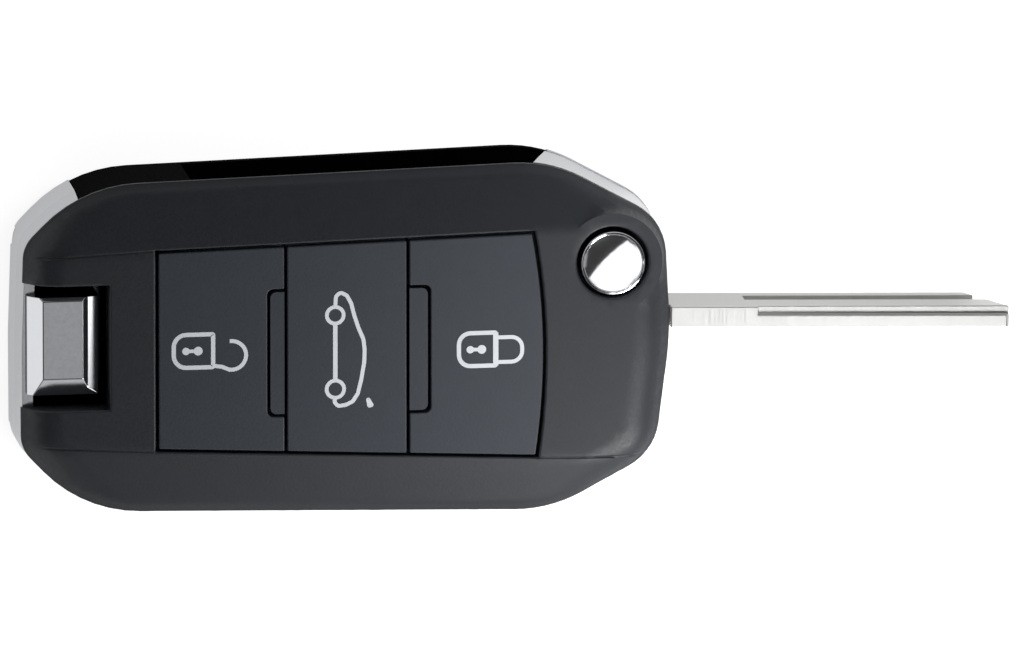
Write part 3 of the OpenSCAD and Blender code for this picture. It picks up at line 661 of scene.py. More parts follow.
@dataclass
class FrontCover:
    """The front cover as a fine closed shell, with rounded openings and the mould's crease grooves."""

    spacing: float = 0.8
    # A free point keeps this share of the spacing from every fixed line
    clear_share: float = 0.45
    thinnest: float = 0.2
    sharp_angle: float = 40.0
    # Levels of the cuts that give the outline and the openings
    cut_above_seam: float = 0.15
    cut_below_face: float = 0.25
    # A point on an edge is measured this far inside it, and gets this height where no face is met
    edge_inset: float = 0.04
    edge_height: float = 0.3
    ray_start: float = 5.0
    edge_round: float = 0.28
    # Lines beside each edge, as shares of its rounding
    round_steps: tuple[float, ...] = (0.12, 0.45, 1.0)
    rim_spacing: float = 0.05
    # The strap's pocket starts this far behind the ring end and reaches this far past the strap
    pocket_end: float = 0.6
    pocket_ahead: float = 1.2
    pocket_beside: float = 2.0
    # A crease lies above the seam, between faces whose normals rise at least this much
    crease_angle: float = 3.0
    crease_reach: float = 0.015
    crease_above_seam: float = 0.1
    crease_upward: float = 0.25
    land_upward: float = 0.02
    land_inside: float = 5.3
    land_outside: float = 6.8
    # The slope at a point is taken over the first of these reaches that meets no step
    slope_reaches: tuple[float, ...] = (0.8, 0.5, 0.3, 0.15)
    slope_limit: float = 1.6
    slope_gap: float = 0.003
    shaded_upward: float = 0.1
    groove_width: float = 0.42
    groove_depth: float = 0.16
    groove_start: float = 0.3
    groove_fade: float = 2.5
    groove_lines: tuple[float, ...] = (-1.0, -0.5, 0.0, 0.5, 1.0)
    # Each groove runs from a corner of the button panel to a point near the end of the cover
    grooves: tuple[tuple[Point, Point], ...] = (
        ((-22.4, 11.95), (-36.4, 11.3)),
        ((-22.4, -11.78), (-36.0, -11.0)),
        ((21.9, -13.8), (35.6, -14.1)),
    )
    rays: BVHTree = field(init=False)
    pivot: Vector = field(init=False)
    top: float = field(init=False)
    base: float = field(init=False)
    pocket: tuple[Point, Point] = field(init=False)
    creases: list[tuple[Vector, Vector]] = field(init=False)

    def build(self) -> bpy.types.Object:
        """Measures the CAD solid and makes the shell.

        Returns:
            The shell as a piece.
        """
        solid = merged("front_cover")
        low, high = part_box("front_cover")
        self.rays = BVHTree.FromBMesh(solid)
        self.pivot = hinge_point(FLIP_JOINT).xy
        self.top, self.base = high[2], low[2]
        strap_low, strap_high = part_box("key_ring_strap")
        self.pocket = ((low[0] + self.pocket_end * MM, strap_high[0] + self.pocket_ahead * MM),
                       (strap_low[1] - self.pocket_beside * MM, strap_high[1] + self.pocket_beside * MM))
        self.creases = self.find_creases(solid)
        outer = max(section_loops(solid, self.base + self.cut_above_seam * MM), key=area)
        cuts = section_loops(solid, self.top - self.cut_below_face * MM)
        holes = [min((c for c in cuts if is_inside(at, c)), key=area)
                 for at in (Vector((0.0, 0.0)), self.pivot)]
        solid.free()
        outer = resampled(running(outer, 1), self.spacing * MM)
        holes = [resampled(running(hole, -1), self.spacing * MM) for hole in holes]
        piece = new_piece("front_cover_shell", self.shell(outer, holes), self.sharp_angle)
        self.shade(piece.data)
        return piece

    def shade(self, data: bpy.types.Mesh) -> None:
        """Shades the upper face by the slope of the CAD solid, so that it shines without lumps.

        Args:
            data: the shell's mesh, which gets its own corner normals.
        """
        normals = [Vector(n.vector) for n in data.corner_normals]
        slopes: dict[int, Vector | None] = {}
        for face in data.polygons:
            if face.normal.z > self.shaded_upward:
                for corner in face.loop_indices:
                    i = data.loops[corner].vertex_index
                    if i not in slopes:
                        slopes[i] = self.slope_normal(data.vertices[i].co)
                    normals[corner] = slopes[i] or normals[corner]
        data.normals_split_custom_set(normals)

    def slope_normal(self, at: Vector) -> Vector | None:
        """Finds the way that the upper face looks.

        Args:
            at: a point of the shell.

        Returns:
            The normal there, or None by the land, an opening or a groove.
        """
        if (at.xy - self.pivot).length < (self.land_outside + self.slope_reaches[0]) * MM:
            return None
        if abs(self.height(at.xy, True) - at.z) > self.slope_gap * MM:
            return None
        for reach in self.slope_reaches:
            rises = [[(self.height(at.xy + side * way * reach * MM, True) - at.z) / (side * reach * MM)
                      for side in (-1, 1)] for way in (Vector((1.0, 0.0)), Vector((0.0, 1.0)))]
            if all(abs(r) < self.slope_limit for pair in rises for r in pair):
                return Vector((-sum(rises[0]) / 2, -sum(rises[1]) / 2, 1.0)).normalized()
        return None

    def find_creases(self, solid: bmesh.types.BMesh) -> list[tuple[Vector, Vector]]:
        """Finds the creases between the upper faces of the CAD solid.

        Args:
            solid: the solid's joined mesh.

        Returns:
            Both ends of each crease, in plan.
        """
        solid.normal_update()
        found: list[tuple[Vector, Vector]] = []
        for edge in solid.edges:
            a, b = (v.co for v in edge.verts)
            on_land = all(self.land_inside * MM < (p.xy - self.pivot).length < self.land_outside * MM
                          for p in (a, b))
            upward = self.land_upward if on_land else self.crease_upward
            if len(edge.link_faces) == 2 \
                    and min(a.z, b.z) > self.base + self.crease_above_seam * MM \
                    and all(f.normal.z > upward for f in edge.link_faces) \
                    and edge.calc_face_angle() > math.radians(self.crease_angle):
                found.append((a.xy.copy(), b.xy.copy()))
        return found

    def shell(self, outer: Loop, holes: list[Loop]) -> bmesh.types.BMesh:
        """Meshes the plan of the cover and lifts it to both faces of the CAD solid.

        Args:
            outer: the outline of the cover, counter-clockwise.
            holes: its openings, clockwise.

        Returns:
            The closed mesh.
        """
        plan = self.plan(outer, holes)
        verts, _, faces, *_ = delaunay_2d_cdt(plan.points, plan.edges, [], HULL_TRIANGLES, PLAN_GAP)
        kept = [f for f in faces if self.covers(middle_of(f, verts), [outer, *holes])]
        lean = [Vector((0.0, 0.0)) for _ in verts]
        for f in kept:
            middle = middle_of(f, verts)
            for i in f:
                lean[i] += (middle - verts[i]).normalized()
        sides = {side for f in kept for side in round_pairs(f)}
        border = {side for side in sides if side[::-1] not in sides}
        on_border = {i for side in border for i in side}
        step = self.rim_spacing * MM
        rims = search_tree([p for hole in holes for p in resampled(hole, step)]
                           + [p for p in resampled(outer, step) if self.is_notch(p)])
        mesh = bmesh.new()
        upper: dict[int, bmesh.types.BMVert] = {}
        lower: dict[int, bmesh.types.BMVert] = {}
        for i in sorted({i for f in kept for i in f}):
            at = verts[i]
            probe = at + lean[i].normalized() * (self.edge_inset * MM) if i in on_border else at
            top = self.height(probe, True) - self.rounding(at, rims) - self.groove(at)
            upper[i] = mesh.verts.new((at.x, at.y, top))
            lower[i] = mesh.verts.new((at.x, at.y, min(self.height(probe, False),
                                                       top - self.thinnest * MM)))
        for f in kept:
            mesh.faces.new([upper[i] for i in f])
            mesh.faces.new([lower[i] for i in reversed(f)])
        for a, b in sorted(border):
            mesh.faces.new([upper[b], upper[a], lower[a], lower[b]])
        bmesh.ops.remove_doubles(mesh, verts=mesh.verts, dist=WELD_GAP * MM)
        bmesh.ops.recalc_face_normals(mesh, faces=mesh.faces)
        return mesh

    def plan(self, outer: Loop, holes: list[Loop]) -> Plan:
        """Lays out the lines of the cover and fills the space between them with points.

        Args:
            outer: the outline of the cover, counter-clockwise.
            holes: its openings, clockwise.

        Returns:
            The plan.
        """
        plan = Plan()
        step = self.spacing * MM
        for loop in (outer, *holes):
            plan.lay(loop, closed=True)
            for share in self.round_steps:
                plan.lay(offset(loop, share * self.edge_round * MM), closed=True)
        for a, b in self.grooves:
            start, end = Vector(a) * MM, Vector(b) * MM
            along = (end - start).normalized()
            across = Vector((-along.y, along.x)) * (self.groove_width * MM / 2)
            parts = math.ceil((end - start).length / step)
            for share in self.groove_lines:
                plan.lay([start + along * (self.groove_start * MM) + (end - start) * (k / parts)
                          + across * share for k in range(parts + 1)])
        for a, b in self.creases:
            plan.lay(divided(a, b, step))
        fixed = search_tree(plan.points)
        low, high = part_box("front_cover")
        for row in range(int((high[1] - low[1]) / step) + 1):
            for column in range(int((high[0] - low[0]) / step) + 1):
                at = Vector((low[0] + (column + 0.5 * (row % 2)) * step, low[1] + row * step))
                if fixed.find(at.to_3d())[2] > self.clear_share * step:
                    plan.points.append(at)
        return plan

    @staticmethod
    def covers(point: Vector, loops: Sequence[Loop]) -> bool:
        """Tells whether the plan's material is at a point."""
        return sum(is_inside(point, loop) for loop in loops) == 1

    def is_notch(self, point: Vector) -> bool:
        """Tells whether an outline point is on the strap's pocket, whose edges are sharp in CAD."""
        (left, right), (low, high) = self.pocket
        return left < point.x < right and low < point.y < high

    def height(self, point: Vector, above: bool) -> float:
        """Measures the CAD solid's upper or lower face.

        Args:
            point: the point in plan.
            above: True for the upper face, which is measured on both sides of a crease.

        Returns:
            The height of the face in metres.
        """
        if not above:
            hit = self.rays.ray_cast(point.to_3d() + UP * (self.base - self.ray_start * MM), UP)[0]
            return hit.z if hit else self.base
        near = [Vector((dx, dy)) * (self.crease_reach * MM) for dx in (-1, 1) for dy in (-1, 1)]
        start = UP * (self.top + self.ray_start * MM)
        hits = [self.rays.ray_cast((point + d).to_3d() + start, -UP)[0] for d in near]
        return max((hit.z for hit in hits if hit), default=self.base + self.edge_height * MM)

    def rounding(self, point: Vector, rims: KDTree) -> float:
        """Works out how far the rounding of the openings lowers a point.

        Args:
            point: the point in plan.
            rims: the points of the openings' edges.

        Returns:
            The way down in metres.
        """
        radius = self.edge_round * MM
        near = rims.find(point.to_3d())[2]
        return radius - math.sqrt(radius ** 2 - (radius - near) ** 2) if near < radius else 0.0

    def groove(self, point: Vector) -> float:
        """Works out how deep the crease grooves are.

        Args:
            point: the point in plan.

        Returns:
            The depth in metres.
        """
        half = self.groove_width * MM / 2
        for a, b in self.grooves:
            start, end = Vector(a) * MM, Vector(b) * MM
            along = (end - start).normalized()
            way = (point - start).dot(along)
            side = abs((point - start).cross(along))
            if side < half and 0 < way < (end - start).length:
                fade = min(1.0, ((end - start).length - way) / (self.groove_fade * MM))
                return self.groove_depth * MM * fade * (1 - (side / half) ** 2)
        return 0.0


def start_group(name: str, inputs: dict[str, str]) -> bpy.types.NodeTree:
    """Starts a Geometry Nodes tree with named inputs.

    Args:
        name: the tree's name.
        inputs: the kind of socket for each input's name.

    Returns:
        The tree, without nodes.
    """
    tree = bpy.data.node_groups.new(name, "GeometryNodeTree")
    tree.interface.new_socket("Geometry", in_out="INPUT", socket_type="NodeSocketGeometry")
    for socket, kind in inputs.items():
        tree.interface.new_socket(socket, in_out="INPUT", socket_type=f"NodeSocket{kind}")
    tree.interface.new_socket("Geometry", in_out="OUTPUT", socket_type="NodeSocketGeometry")
    return tree


def end_group(tree: bpy.types.NodeTree, path: bpy.types.Node, section: bpy.types.Node,
              finish: Finish) -> None:
    """Sweeps a section along a path and ends the tree in a plain dressed mesh.

    Args:
        tree: the tree.
        path: the node that gives the path.
        section: the node that gives the section.
        finish: the finish of the mesh.
    """
    swept = add(tree, "GeometryNodeCurveToMesh",
                {"Curve": path.outputs["Curve"], "Profile Curve": section.outputs["Curve"],
                 "Fill Caps": True})
    whole = add(tree, "GeometryNodeRealizeInstances", {"Geometry": swept.outputs["Mesh"]})
    dressed = add(tree, "GeometryNodeSetMaterial", {"Geometry": whole.outputs["Geometry"],
                                                    "Material": finish.material()})
    add(tree, "NodeGroupOutput", {"Geometry": dressed.outputs["Geometry"]})


def drawn(piece: bpy.types.Object, tree: bpy.types.NodeTree,
          values: dict[str, float]) -> bpy.types.Object:
    """Runs a Geometry Nodes tree on a piece and keeps the result as a plain mesh.

    Args:
        piece: the piece.
        tree: the tree.
        values: a value for each input's name.

    Returns:
        The same piece.
    """
    modifier = piece.modifiers.new(tree.name, "NODES")
    modifier.node_group = tree
    for item in tree.interface.items_tree:
        if item.name in values:
            modifier[item.identifier] = values[item.name]
    return applied(piece)


def ink_line_group() -> bpy.types.NodeTree:
    """Makes the tree that turns a line of edges into a flat band of ink, at its first use.

    Returns:
        The tree.
    """
    tree = bpy.data.node_groups.get("Ink line")
    if tree:
        return tree
    tree = start_group("Ink line", dict.fromkeys(("Width", "Height", "Fillet"), "Float"))
    given = add(tree, "NodeGroupInput").outputs
    line = add(tree, "GeometryNodeMeshToCurve", {"Mesh": given["Geometry"]})
    level = add(tree, "GeometryNodeSetCurveNormal", {"Curve": line.outputs["Curve"]}, mode="Z_UP")
    path = add(tree, "GeometryNodeFilletCurve",
               {"Curve": level.outputs["Curve"], "Radius": given["Fillet"], "Limit Radius": True,
                "Count": 4}, mode="POLY")
    section = add(tree, "GeometryNodeCurvePrimitiveQuadrilateral",
                  {"Width": given["Width"], "Height": given["Height"]}, mode="RECTANGLE")
    end_group(tree, path, section, INK)
    return tree


def wound_wire_group() -> bpy.types.NodeTree:
    """Makes the tree that winds a wire on a cylinder or a cone, at its first use.

    Returns:
        The tree.
    """
    tree = bpy.data.node_groups.get("Wound wire")
    if tree:
        return tree
    tree = start_group("Wound wire", {"Steps": "Int", "Turns": "Float", "Foot radius": "Float",
                                      "Head radius": "Float", "Height": "Float",
                                      "Wire radius": "Float", "Sides": "Int"})
    given = add(tree, "NodeGroupInput").outputs
    path = add(tree, "GeometryNodeCurveSpiral",
               {"Resolution": given["Steps"], "Rotations": given["Turns"],
                "Start Radius": given["Foot radius"], "End Radius": given["Head radius"],
                "Height": given["Height"]})
    section = add(tree, "GeometryNodeCurvePrimitiveCircle",
                  {"Resolution": given["Sides"], "Radius": given["Wire radius"]}, mode="RADIUS")
    end_group(tree, path, section, WIRE)
    return tree


@dataclass(frozen=True)
class Stroke:
    """One line of a printed symbol: its points, whether it is closed, its width and its rounding."""

    points: tuple[Point, ...]
    closed: bool = False
    width: float = 0.5
    fillet: float = 0.3


def arc(centre: Point, radius: float, first: float, last: float, steps: int = 14) -> tuple[Point, ...]:
    """Divides an arc.

    Args:
        centre: its centre.
        radius: its radius.
        first: the angle of its start in degrees.
        last: the angle of its end in degrees.
        steps: its parts.

    Returns:
        The points, with both ends.
    """
    turns = [math.radians(first + (last - first) * k / steps) for k in range(steps + 1)]
    return tuple((centre[0] + radius * math.cos(t), centre[1] + radius * math.sin(t)) for t in turns)


def ring(centre: Point, radius: float, width: float) -> Stroke:
    """Returns a round line, or a disc where the line is twice as wide as the radius."""
    return Stroke(arc(centre, radius, 0.0, 345.0, 23), True, width, 0.0)


@dataclass(frozen=True)
class Padlock:
    """A lying padlock's body with its keyhole: its four sides and the rounding of its left corners."""

    left: float
    right: float
    low: float
    high: float
    round_end: float
    corner: float = 0.12
    # The keyhole is a bar between two discs, placed as shares of the body's length
    hole_ends: Point = (0.31, 0.62)
    hole_radii: Point = (0.22, 0.26)
    hole_width: float = 0.42

    def strokes(self) -> tuple[Stroke, ...]:
        """Draws the body and the keyhole.

        Returns:
            Their strokes.
        """
        r = self.round_end
        middle = (self.low + self.high) / 2
        body = ((self.right, self.high),
                *arc((self.left + r, self.high - r), r, 90.0, 180.0, 6),
                *arc((self.left + r, self.low + r), r, 180.0, 270.0, 6),
                (self.right, self.low))
        ends = [(self.left + (self.right - self.left) * share, middle) for share in self.hole_ends]
        discs = [ring(end, radius, 2 * radius) for end, radius in zip(ends, self.hole_radii)]
        return (Stroke(body, True, fillet=self.corner), Stroke(tuple(ends), width=self.hole_width),
                *discs)


@dataclass
class ButtonPanel:
    """The three caps with their printed symbols."""

    cap_round: float = 0.16
    ink_height: float = 0.04
    ink_sink: float = 0.012
    # Each further line of a symbol lies this much higher, so that crossing lines never share a face
    ink_step: float = 0.004
    # A padlock with its bow swung out
    unlock: tuple[Stroke, ...] = (
        *Padlock(-20.38, -15.79, -1.9, 1.99, 1.45).strokes(),
        Stroke(((-15.9, -1.72), (-14.75, -1.9), *arc((-13.65, -0.58), 1.7, -98.0, 97.0)), width=0.46),
    )
    # A padlock with its bow in the body
    lock: tuple[Stroke, ...] = (
        *Padlock(12.86, 17.16, -2.69, 1.2, 1.35).strokes(),
        Stroke(((17.16, 1.2), (17.16, -2.69)), width=0.62),
        Stroke(((17.2, 0.62), *arc((19.0, -0.62), 1.24, 90.0, 0.0, 6),
                *arc((19.0, -1.06), 1.24, 0.0, -90.0, 6), (17.2, -2.3)), width=0.46),
    )
    # A car seen from its side: two wheels, the sill between them, the body's line and the raised lid
    boot: tuple[Stroke, ...] = (
        ring((-1.56, 3.8), 0.98, 0.44),
        ring((-1.56, -4.94), 1.02, 0.44),
        Stroke(((-1.56, 2.85), (-1.56, -3.95)), width=0.52),
        Stroke(((-1.56, 4.75), (-1.48, 6.04), (-0.95, 6.5), (-0.2, 6.09), (0.3, 5.14), (0.64, 3.78),
                (1.14, 2.24), (1.72, 0.87), (1.86, -0.32), (1.81, -1.84), (1.47, -3.85), (1.06, -5.53),
                (0.47, -6.44), (-0.36, -6.84), (-1.28, -6.95), (-1.72, -6.4), (-1.5, -5.85)),
               width=0.46, fillet=0.5),
        Stroke(((2.06, -5.72), (2.78, -6.98), (2.34, -7.12)), True, width=0.3, fillet=0.1),
        Stroke(((2.3, -6.3), (2.52, -6.95)), width=0.4),
    )

    def build(self) -> None:
        """Finishes each cap and prints its symbol on it."""
        for node, body, symbol in (("unlock_button", Body.UNLOCK, self.unlock),
                                   ("boot_button", Body.BOOT, self.boot),
                                   ("lock_button", Body.LOCK, self.lock)):
            seat(softened(node, self.cap_round), body, "button_plastic", replaces=(node,))
            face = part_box(node)[1][2]
            parts = [self.print_stroke(f"{node}_ink_{k}", stroke, face + k * self.ink_step * MM)
                     for k, stroke in enumerate(symbol)]
            seat(joined(f"{node}_symbol", parts), body, "button_plastic", INK)

    def print_stroke(self, name: str, stroke: Stroke, face: float) -> bpy.types.Object:
        """Prints one line as a thin raised mesh.

        Args:
            name: the piece's name.
            stroke: the line.
            face: the height of the cap's face in metres.

        Returns:
            The printed line.
        """
        level = face + (self.ink_height / 2 - self.ink_sink) * MM
        line = bmesh.new()
        verts = [line.verts.new((x * MM, y * MM, level)) for x, y in stroke.points]
        pairs = round_pairs(verts)
        for pair in pairs if stroke.closed else pairs[:-1]:
            line.edges.new(pair)
        return drawn(new_piece(name, line), ink_line_group(),
                     {"Width": stroke.width * MM, "Height": self.ink_height * MM,
                      "Fillet": stroke.fillet * MM})


@dataclass
class Carrier:
    """The blade's carrier: plated where it shows, with its neck in the front cover's bore painted dark
    as shade.
    """

    edge_round: float = 0.12
    neck_reach: float = 4.8

    def build(self) -> None:
        """Finishes the carrier and paints its neck dark as the shade in the bore."""
        piece = softened("blade_carrier", self.edge_round)
        seat(piece, Body.FLIP_BLADE, "carrier_chrome", replaces=("blade_carrier",))
        piece.data.materials.append(NECK_SHADE.material())
        bore_shade = len(piece.data.materials) - 1
        axis = hinge_point(FLIP_JOINT).xy
        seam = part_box("front_cover")[0][2]
        # Faces above the seam near the hinge are the neck, and they get the painted shade of the bore
        for face in piece.data.polygons:
            if face.center.z > seam and (face.center.xy - axis).length < self.neck_reach * MM:
                face.material_index = bore_shade


@dataclass
class ReleaseButton:
    """The dished button at the pivot: a rounded rim about a polished hollow, over a flange."""

    radius: float = 3.75
    flange_height: float = 1.0
    flange_round: float = 0.1
    rim: float = 0.42
    rim_steps: int = 6
    dish: float = 0.35
    dish_steps: int = 16
    sides: int = 96
    sharp_angle: float = 30.0

    def build(self) -> None:
        """Turns the button in the space of its CAD solid."""
        piece = self.turned("release_button_turned", self.profile())
        seat(piece, Body.RELEASE, "chrome_trim", DISH, replaces=("release_button",))

    def profile(self) -> list[Point]:
        """Draws half of the button's section.

        Returns:
            Radius and height of each point in millimetres, from axis to axis.
        """
        low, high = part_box("release_button")
        flange = (high[0] - low[0]) / 2 / MM
        bottom, top = low[2] / MM, high[2] / MM
        step = bottom + self.flange_height
        bead = self.rim / 2
        flat = self.radius - self.rim
        bend = (flat ** 2 + self.dish ** 2) / (2 * self.dish)
        points = [(0.0, bottom), (flange - self.flange_round, bottom),
                  (flange, bottom + self.flange_round), (flange, step), (self.radius, step)]
        for k in range(self.rim_steps + 1):
            turn = math.pi * k / self.rim_steps
            points.append((self.radius - bead + bead * math.cos(turn),
                           top - bead + bead * math.sin(turn)))
        for k in range(1, self.dish_steps + 1):
            r = flat * (1 - k / self.dish_steps)
            points.append((r, top - bead - self.dish + bend - math.sqrt(bend ** 2 - r ** 2)))
        return points

    def turned(self, name: str, profile: Sequence[Point]) -> bpy.types.Object:
        """Revolves a profile about the hinge's axis.

        Args:
            name: the piece's name.
            profile: radius and height of each point in millimetres, from axis to axis.

        Returns:
            The closed piece.
        """
        centre = hinge_point(FLIP_JOINT)
        mesh = bmesh.new()
        verts = [mesh.verts.new((centre.x + r * MM, centre.y, z * MM)) for r, z in profile]
        edges = [mesh.edges.new(pair) for pair in zip(verts, verts[1:])]
        bmesh.ops.spin(mesh, geom=[*verts, *edges], cent=(centre.x, centre.y, 0.0), axis=UP,
                       angle=math.tau, steps=self.sides, use_merge=True)
        bmesh.ops.remove_doubles(mesh, verts=mesh.verts, dist=WELD_GAP * MM)
        bmesh.ops.recalc_face_normals(mesh, faces=mesh.faces)
        return new_piece(name, mesh, self.sharp_angle)


@dataclass
class Springs:
    """The wound wires: the flip spring, and the release spring, which is a cone."""

    turns: float = 2.5
    steps_per_turn: int = 48
    wire_sides: int = 14
    flip_wire: float = 0.7
    release_wire: float = 0.35
    release_cone: float = 1.05
    # The share of its height that the release spring keeps when the button is down
    release_keep: float = 0.32

    def build(self) -> None:
        """Winds each spring in the space of its CAD solid."""
        axis = hinge_point(FLIP_JOINT)
        low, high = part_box("flip_spring")
        radius = (high[0] - low[0]) / 2 - self.flip_wire * MM / 2
        flip = self.wound("flip_spring", radius, radius, self.flip_wire)
        seat(flip, Body.CASE, "spring_steel", replaces=("flip_spring",))
        low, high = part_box("release_spring")
        foot = max(high[0] - axis.x, axis.x - low[0]) - self.release_wire * MM / 2
        release = self.wound("release_spring", foot, foot - self.release_cone * MM, self.release_wire)
        seat(release, Body.FLIP_BLADE, "spring_steel", replaces=("release_spring",))
        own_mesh(release)

    def wound(self, node: str, foot: float, head: float, gauge: float) -> bpy.types.Object:
        """Winds one wire about the hinge's axis, as high as its CAD solid.

        Args:
            node: the CAD node that it stands for.
            foot: the radius at its start in metres.
            head: the radius at its end in metres.
            gauge: the wire's diameter in millimetres.

        Returns:
            The wound wire, named after the node.
        """
        low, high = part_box(node)
        seed = bmesh.new()
        seed.verts.new((0.0, 0.0, 0.0))
        piece = drawn(new_piece(f"{node}_wire", seed), wound_wire_group(),
                      {"Steps": int(self.turns * self.steps_per_turn) + 1, "Turns": self.turns,
                       "Foot radius": foot, "Head radius": head,
                       "Height": high[2] - low[2] - gauge * MM,
                       "Wire radius": gauge * MM / 2, "Sides": self.wire_sides})
        start = hinge_point(FLIP_JOINT).xy.to_3d() + UP * (low[2] + gauge * MM / 2)
        piece.data.transform(Matrix.Translation(start))
        piece.data.shade_smooth()
        return piece


@dataclass(frozen=True)
class RoundedPart:
    """A CAD node that needs only its edges rounded: its body, its slot and its rounding."""

    node: str
    body: Body
    slot: str
    radius: float
    angle: float = 28.0
    level_angle: float | None = None

    def build(self) -> None:
        """Rounds the node's edges and seats the piece in its place."""
        piece = softened(self.node, self.radius, self.angle, self.level_angle)
        seat(piece, self.body, self.slot, replaces=(self.node,))


ROUNDED_PARTS = (
    RoundedPart("key_ring_strap", Body.CASE, "chrome_trim", 0.1, angle=12.0),
    RoundedPart("side_frame", Body.CASE, "chrome_trim", 0.05, level_angle=3.0),
    RoundedPart("rear_cover", Body.CASE, "housing_plastic", 0.15),
    RoundedPart("key_blade", Body.FLIP_BLADE, "blade_steel", 0.14),
)


@dataclass(frozen=True)
class Lamp:
    """A softbox: its place and sides in metres, its power, its turn in degrees and its use.

    A mirrored lamp shows in the metal, and an aimed one is turned to the fob instead of straight down.
    """

    name: str
    place: Triple
    size: Point
    power: float
    turn: float = 0.0
    mirrored: bool = True
    aimed: bool = False

    def light(self, target: Vector) -> None:
        """Adds the lamp to the scene.

        Args:
            target: the point that an aimed lamp is turned to.
        """
        data = bpy.data.lights.new(self.name, "AREA")
        data.shape = "RECTANGLE"
        data.size, data.size_y = self.size
        data.energy = self.power
        lamp = bpy.data.objects.new(self.name, data)
        lamp.location = self.place
        lamp.rotation_euler.z = math.radians(self.turn)
        if self.aimed:
            lamp.rotation_euler = (lamp.location - target).to_track_quat("Z", "Y").to_euler()
        lamp.visible_glossy = self.mirrored
        bpy.context.scene.collection.objects.link(lamp)


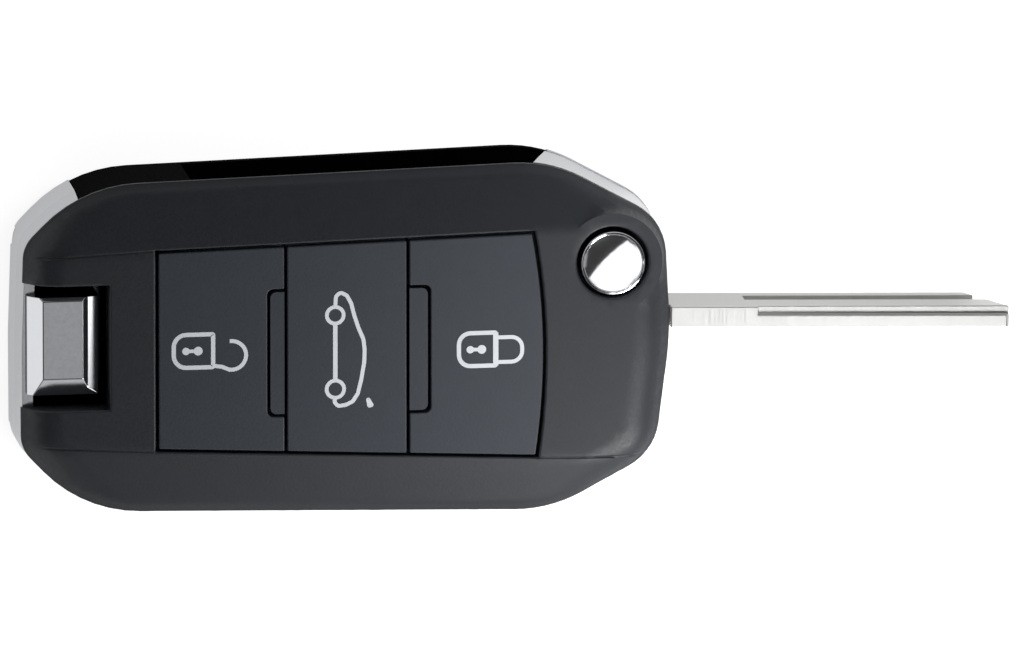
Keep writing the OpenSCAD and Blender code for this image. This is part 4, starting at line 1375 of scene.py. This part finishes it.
@dataclass(frozen=True)
class Studio:
    """White table in a tent, softboxes and the photograph's camera."""

    toward_camera: Triple = (-0.135, 0.212, 0.968)
    image_right: Triple = (0.9904, 0.0, 0.1381)
    view_centre: Triple = (0.0, 0.0, 12.0)
    view_shift: Point = (19.32, 1.52)
    view_width: float = 118.45
    lens: float = 1000.0
    sensor: float = 36.0
    nearest: float = 10.0
    table_size: float = 4000.0
    table_gap: float = 0.02
    table_colour: str = "#b4b4b4"
    # The table's own glow for the fob, and for the camera, which sees it white
    table_glow: Point = (0.45, 0.86)
    # The tent is bright up to the first of these rises and dim from the second one on
    tent_rises: Point = (0.2, 0.6)
    tent_glow: Point = (1.0, 0.05)
    # What matt surfaces get from the tent, as one even light
    even_light: float = 0.25
    white: str = "#ffffff"
    lamp_target: Triple = (0.0, 0.0, 0.008)
    lamps: tuple[Lamp, ...] = (
        Lamp("Corner softbox", (0.079, -0.066, 0.09), (0.045, 0.045), 0.134),
        Lamp("Front softbox", (0.06, -0.11, 0.11), (0.06, 0.06), 0.055),
        Lamp("Dish card", (0.0344, 0.0009, 0.0756), (0.028, 0.044), 0.0058, turn=135.0),
        Lamp("Strap card", (-0.005, -0.043, 0.215), (0.04, 0.06), 0.0028),
        Lamp("End card", (0.195, -0.06, 0.215), (0.1, 0.06), 0.0065),
        Lamp("Bevel card", (0.0, -0.225, 0.215), (0.06, 0.15), 0.0044),
        Lamp("Back softbox", (0.05, 0.08, 0.11), (0.06, 0.06), 0.026, mirrored=False, aimed=True),
        Lamp("Heel card", (0.045, 0.04, 0.03), (0.03, 0.03), 0.006, mirrored=False),
    )

    def build(self) -> None:
        """Sets up colour handling, world, table, lamps and camera."""
        bpy.context.scene.view_settings.view_transform = "Standard"
        self.light_world()
        self.lay_table()
        for lamp in self.lamps:
            lamp.light(Vector(self.lamp_target))
        self.set_camera()

    def light_world(self) -> None:
        """Makes the world a tent: bright low round the table, grey overhead, white to the camera."""
        world = bpy.data.worlds.new("Studio")
        bpy.context.scene.world = world
        world.use_nodes = True
        tree = world.node_tree
        way = add(tree, "ShaderNodeTexCoord").outputs["Generated"]
        rise = add(tree, "ShaderNodeSeparateXYZ", {"Vector": way}).outputs["Z"]
        tent = add(tree, "ShaderNodeMapRange",
                   {"Value": rise, "From Min": self.tent_rises[0], "From Max": self.tent_rises[1],
                    "To Min": self.tent_glow[0], "To Max": self.tent_glow[1]},
                   interpolation_type="SMOOTHSTEP")
        path = add(tree, "ShaderNodeLightPath").outputs
        level = add(tree, "ShaderNodeMix", {"Factor": path["Is Glossy Ray"], "A": self.even_light,
                                            "B": tent.outputs[0]}, data_type="FLOAT")
        seen = add(tree, "ShaderNodeMath", {0: path["Is Camera Ray"], 1: path["Is Transmission Ray"]},
                   operation="MAXIMUM")
        shown = add(tree, "ShaderNodeMix", {"Factor": seen.outputs[0], "A": level.outputs[0], "B": 1.0},
                    data_type="FLOAT")
        wire(tree, tree.nodes["Background"], {"Color": linear(self.white),
                                              "Strength": shown.outputs[0]})

    def lay_table(self) -> None:
        """Lays the white table that the fob lies on."""
        mesh = bmesh.new()
        bmesh.ops.create_grid(mesh, x_segments=1, y_segments=1, size=self.table_size * MM / 2)
        table = new_piece("Table", mesh)
        table.location.z = -self.table_gap * MM
        material = bpy.data.materials.new("White table")
        material.use_nodes = True
        tree = material.node_tree
        path = add(tree, "ShaderNodeLightPath").outputs
        glow = add(tree, "ShaderNodeMapRange",
                   {"Value": path["Is Camera Ray"], "To Min": self.table_glow[0],
                    "To Max": self.table_glow[1]})
        wire(tree, tree.nodes["Principled BSDF"],
             {"Base Color": linear(self.table_colour), "Roughness": 0.9, "Specular IOR Level": 0.0,
              "Emission Color": linear(self.white), "Emission Strength": glow.outputs[0]})
        table.data.materials.append(material)

    def set_camera(self) -> None:
        """Stands the camera at the photograph's angle, with its frame."""
        back = Vector(self.toward_camera).normalized()
        right = Vector(self.image_right)
        right = (right - back * right.dot(back)).normalized()
        up = back.cross(right)
        target = Vector(self.view_centre) + right * self.view_shift[0] + up * self.view_shift[1]
        data = bpy.data.cameras.new("Photograph")
        data.lens = self.lens
        data.sensor_width = self.sensor
        data.clip_start = self.nearest * MM
        camera = bpy.data.objects.new("Photograph", data)
        turn = Matrix((right, up, back)).transposed().to_4x4()
        distance = self.view_width * self.lens / self.sensor
        camera.matrix_world = Matrix.Translation((target + back * distance) * MM) @ turn
        bpy.context.scene.collection.objects.link(camera)
        bpy.context.scene.camera = camera


def main() -> None:
    """Builds the studio and every sub-assembly in order."""
    logging.basicConfig(level=logging.INFO, format="%(name)s: %(message)s")
    Studio().build()
    dress_nodes()
    seat(FrontCover().build(), Body.CASE, "housing_plastic", replaces=("front_cover",))
    ButtonPanel().build()
    Carrier().build()
    ReleaseButton().build()
    Springs().build()
    for part in ROUNDED_PARTS:
        part.build()


if __name__ == "__main__":
    main()
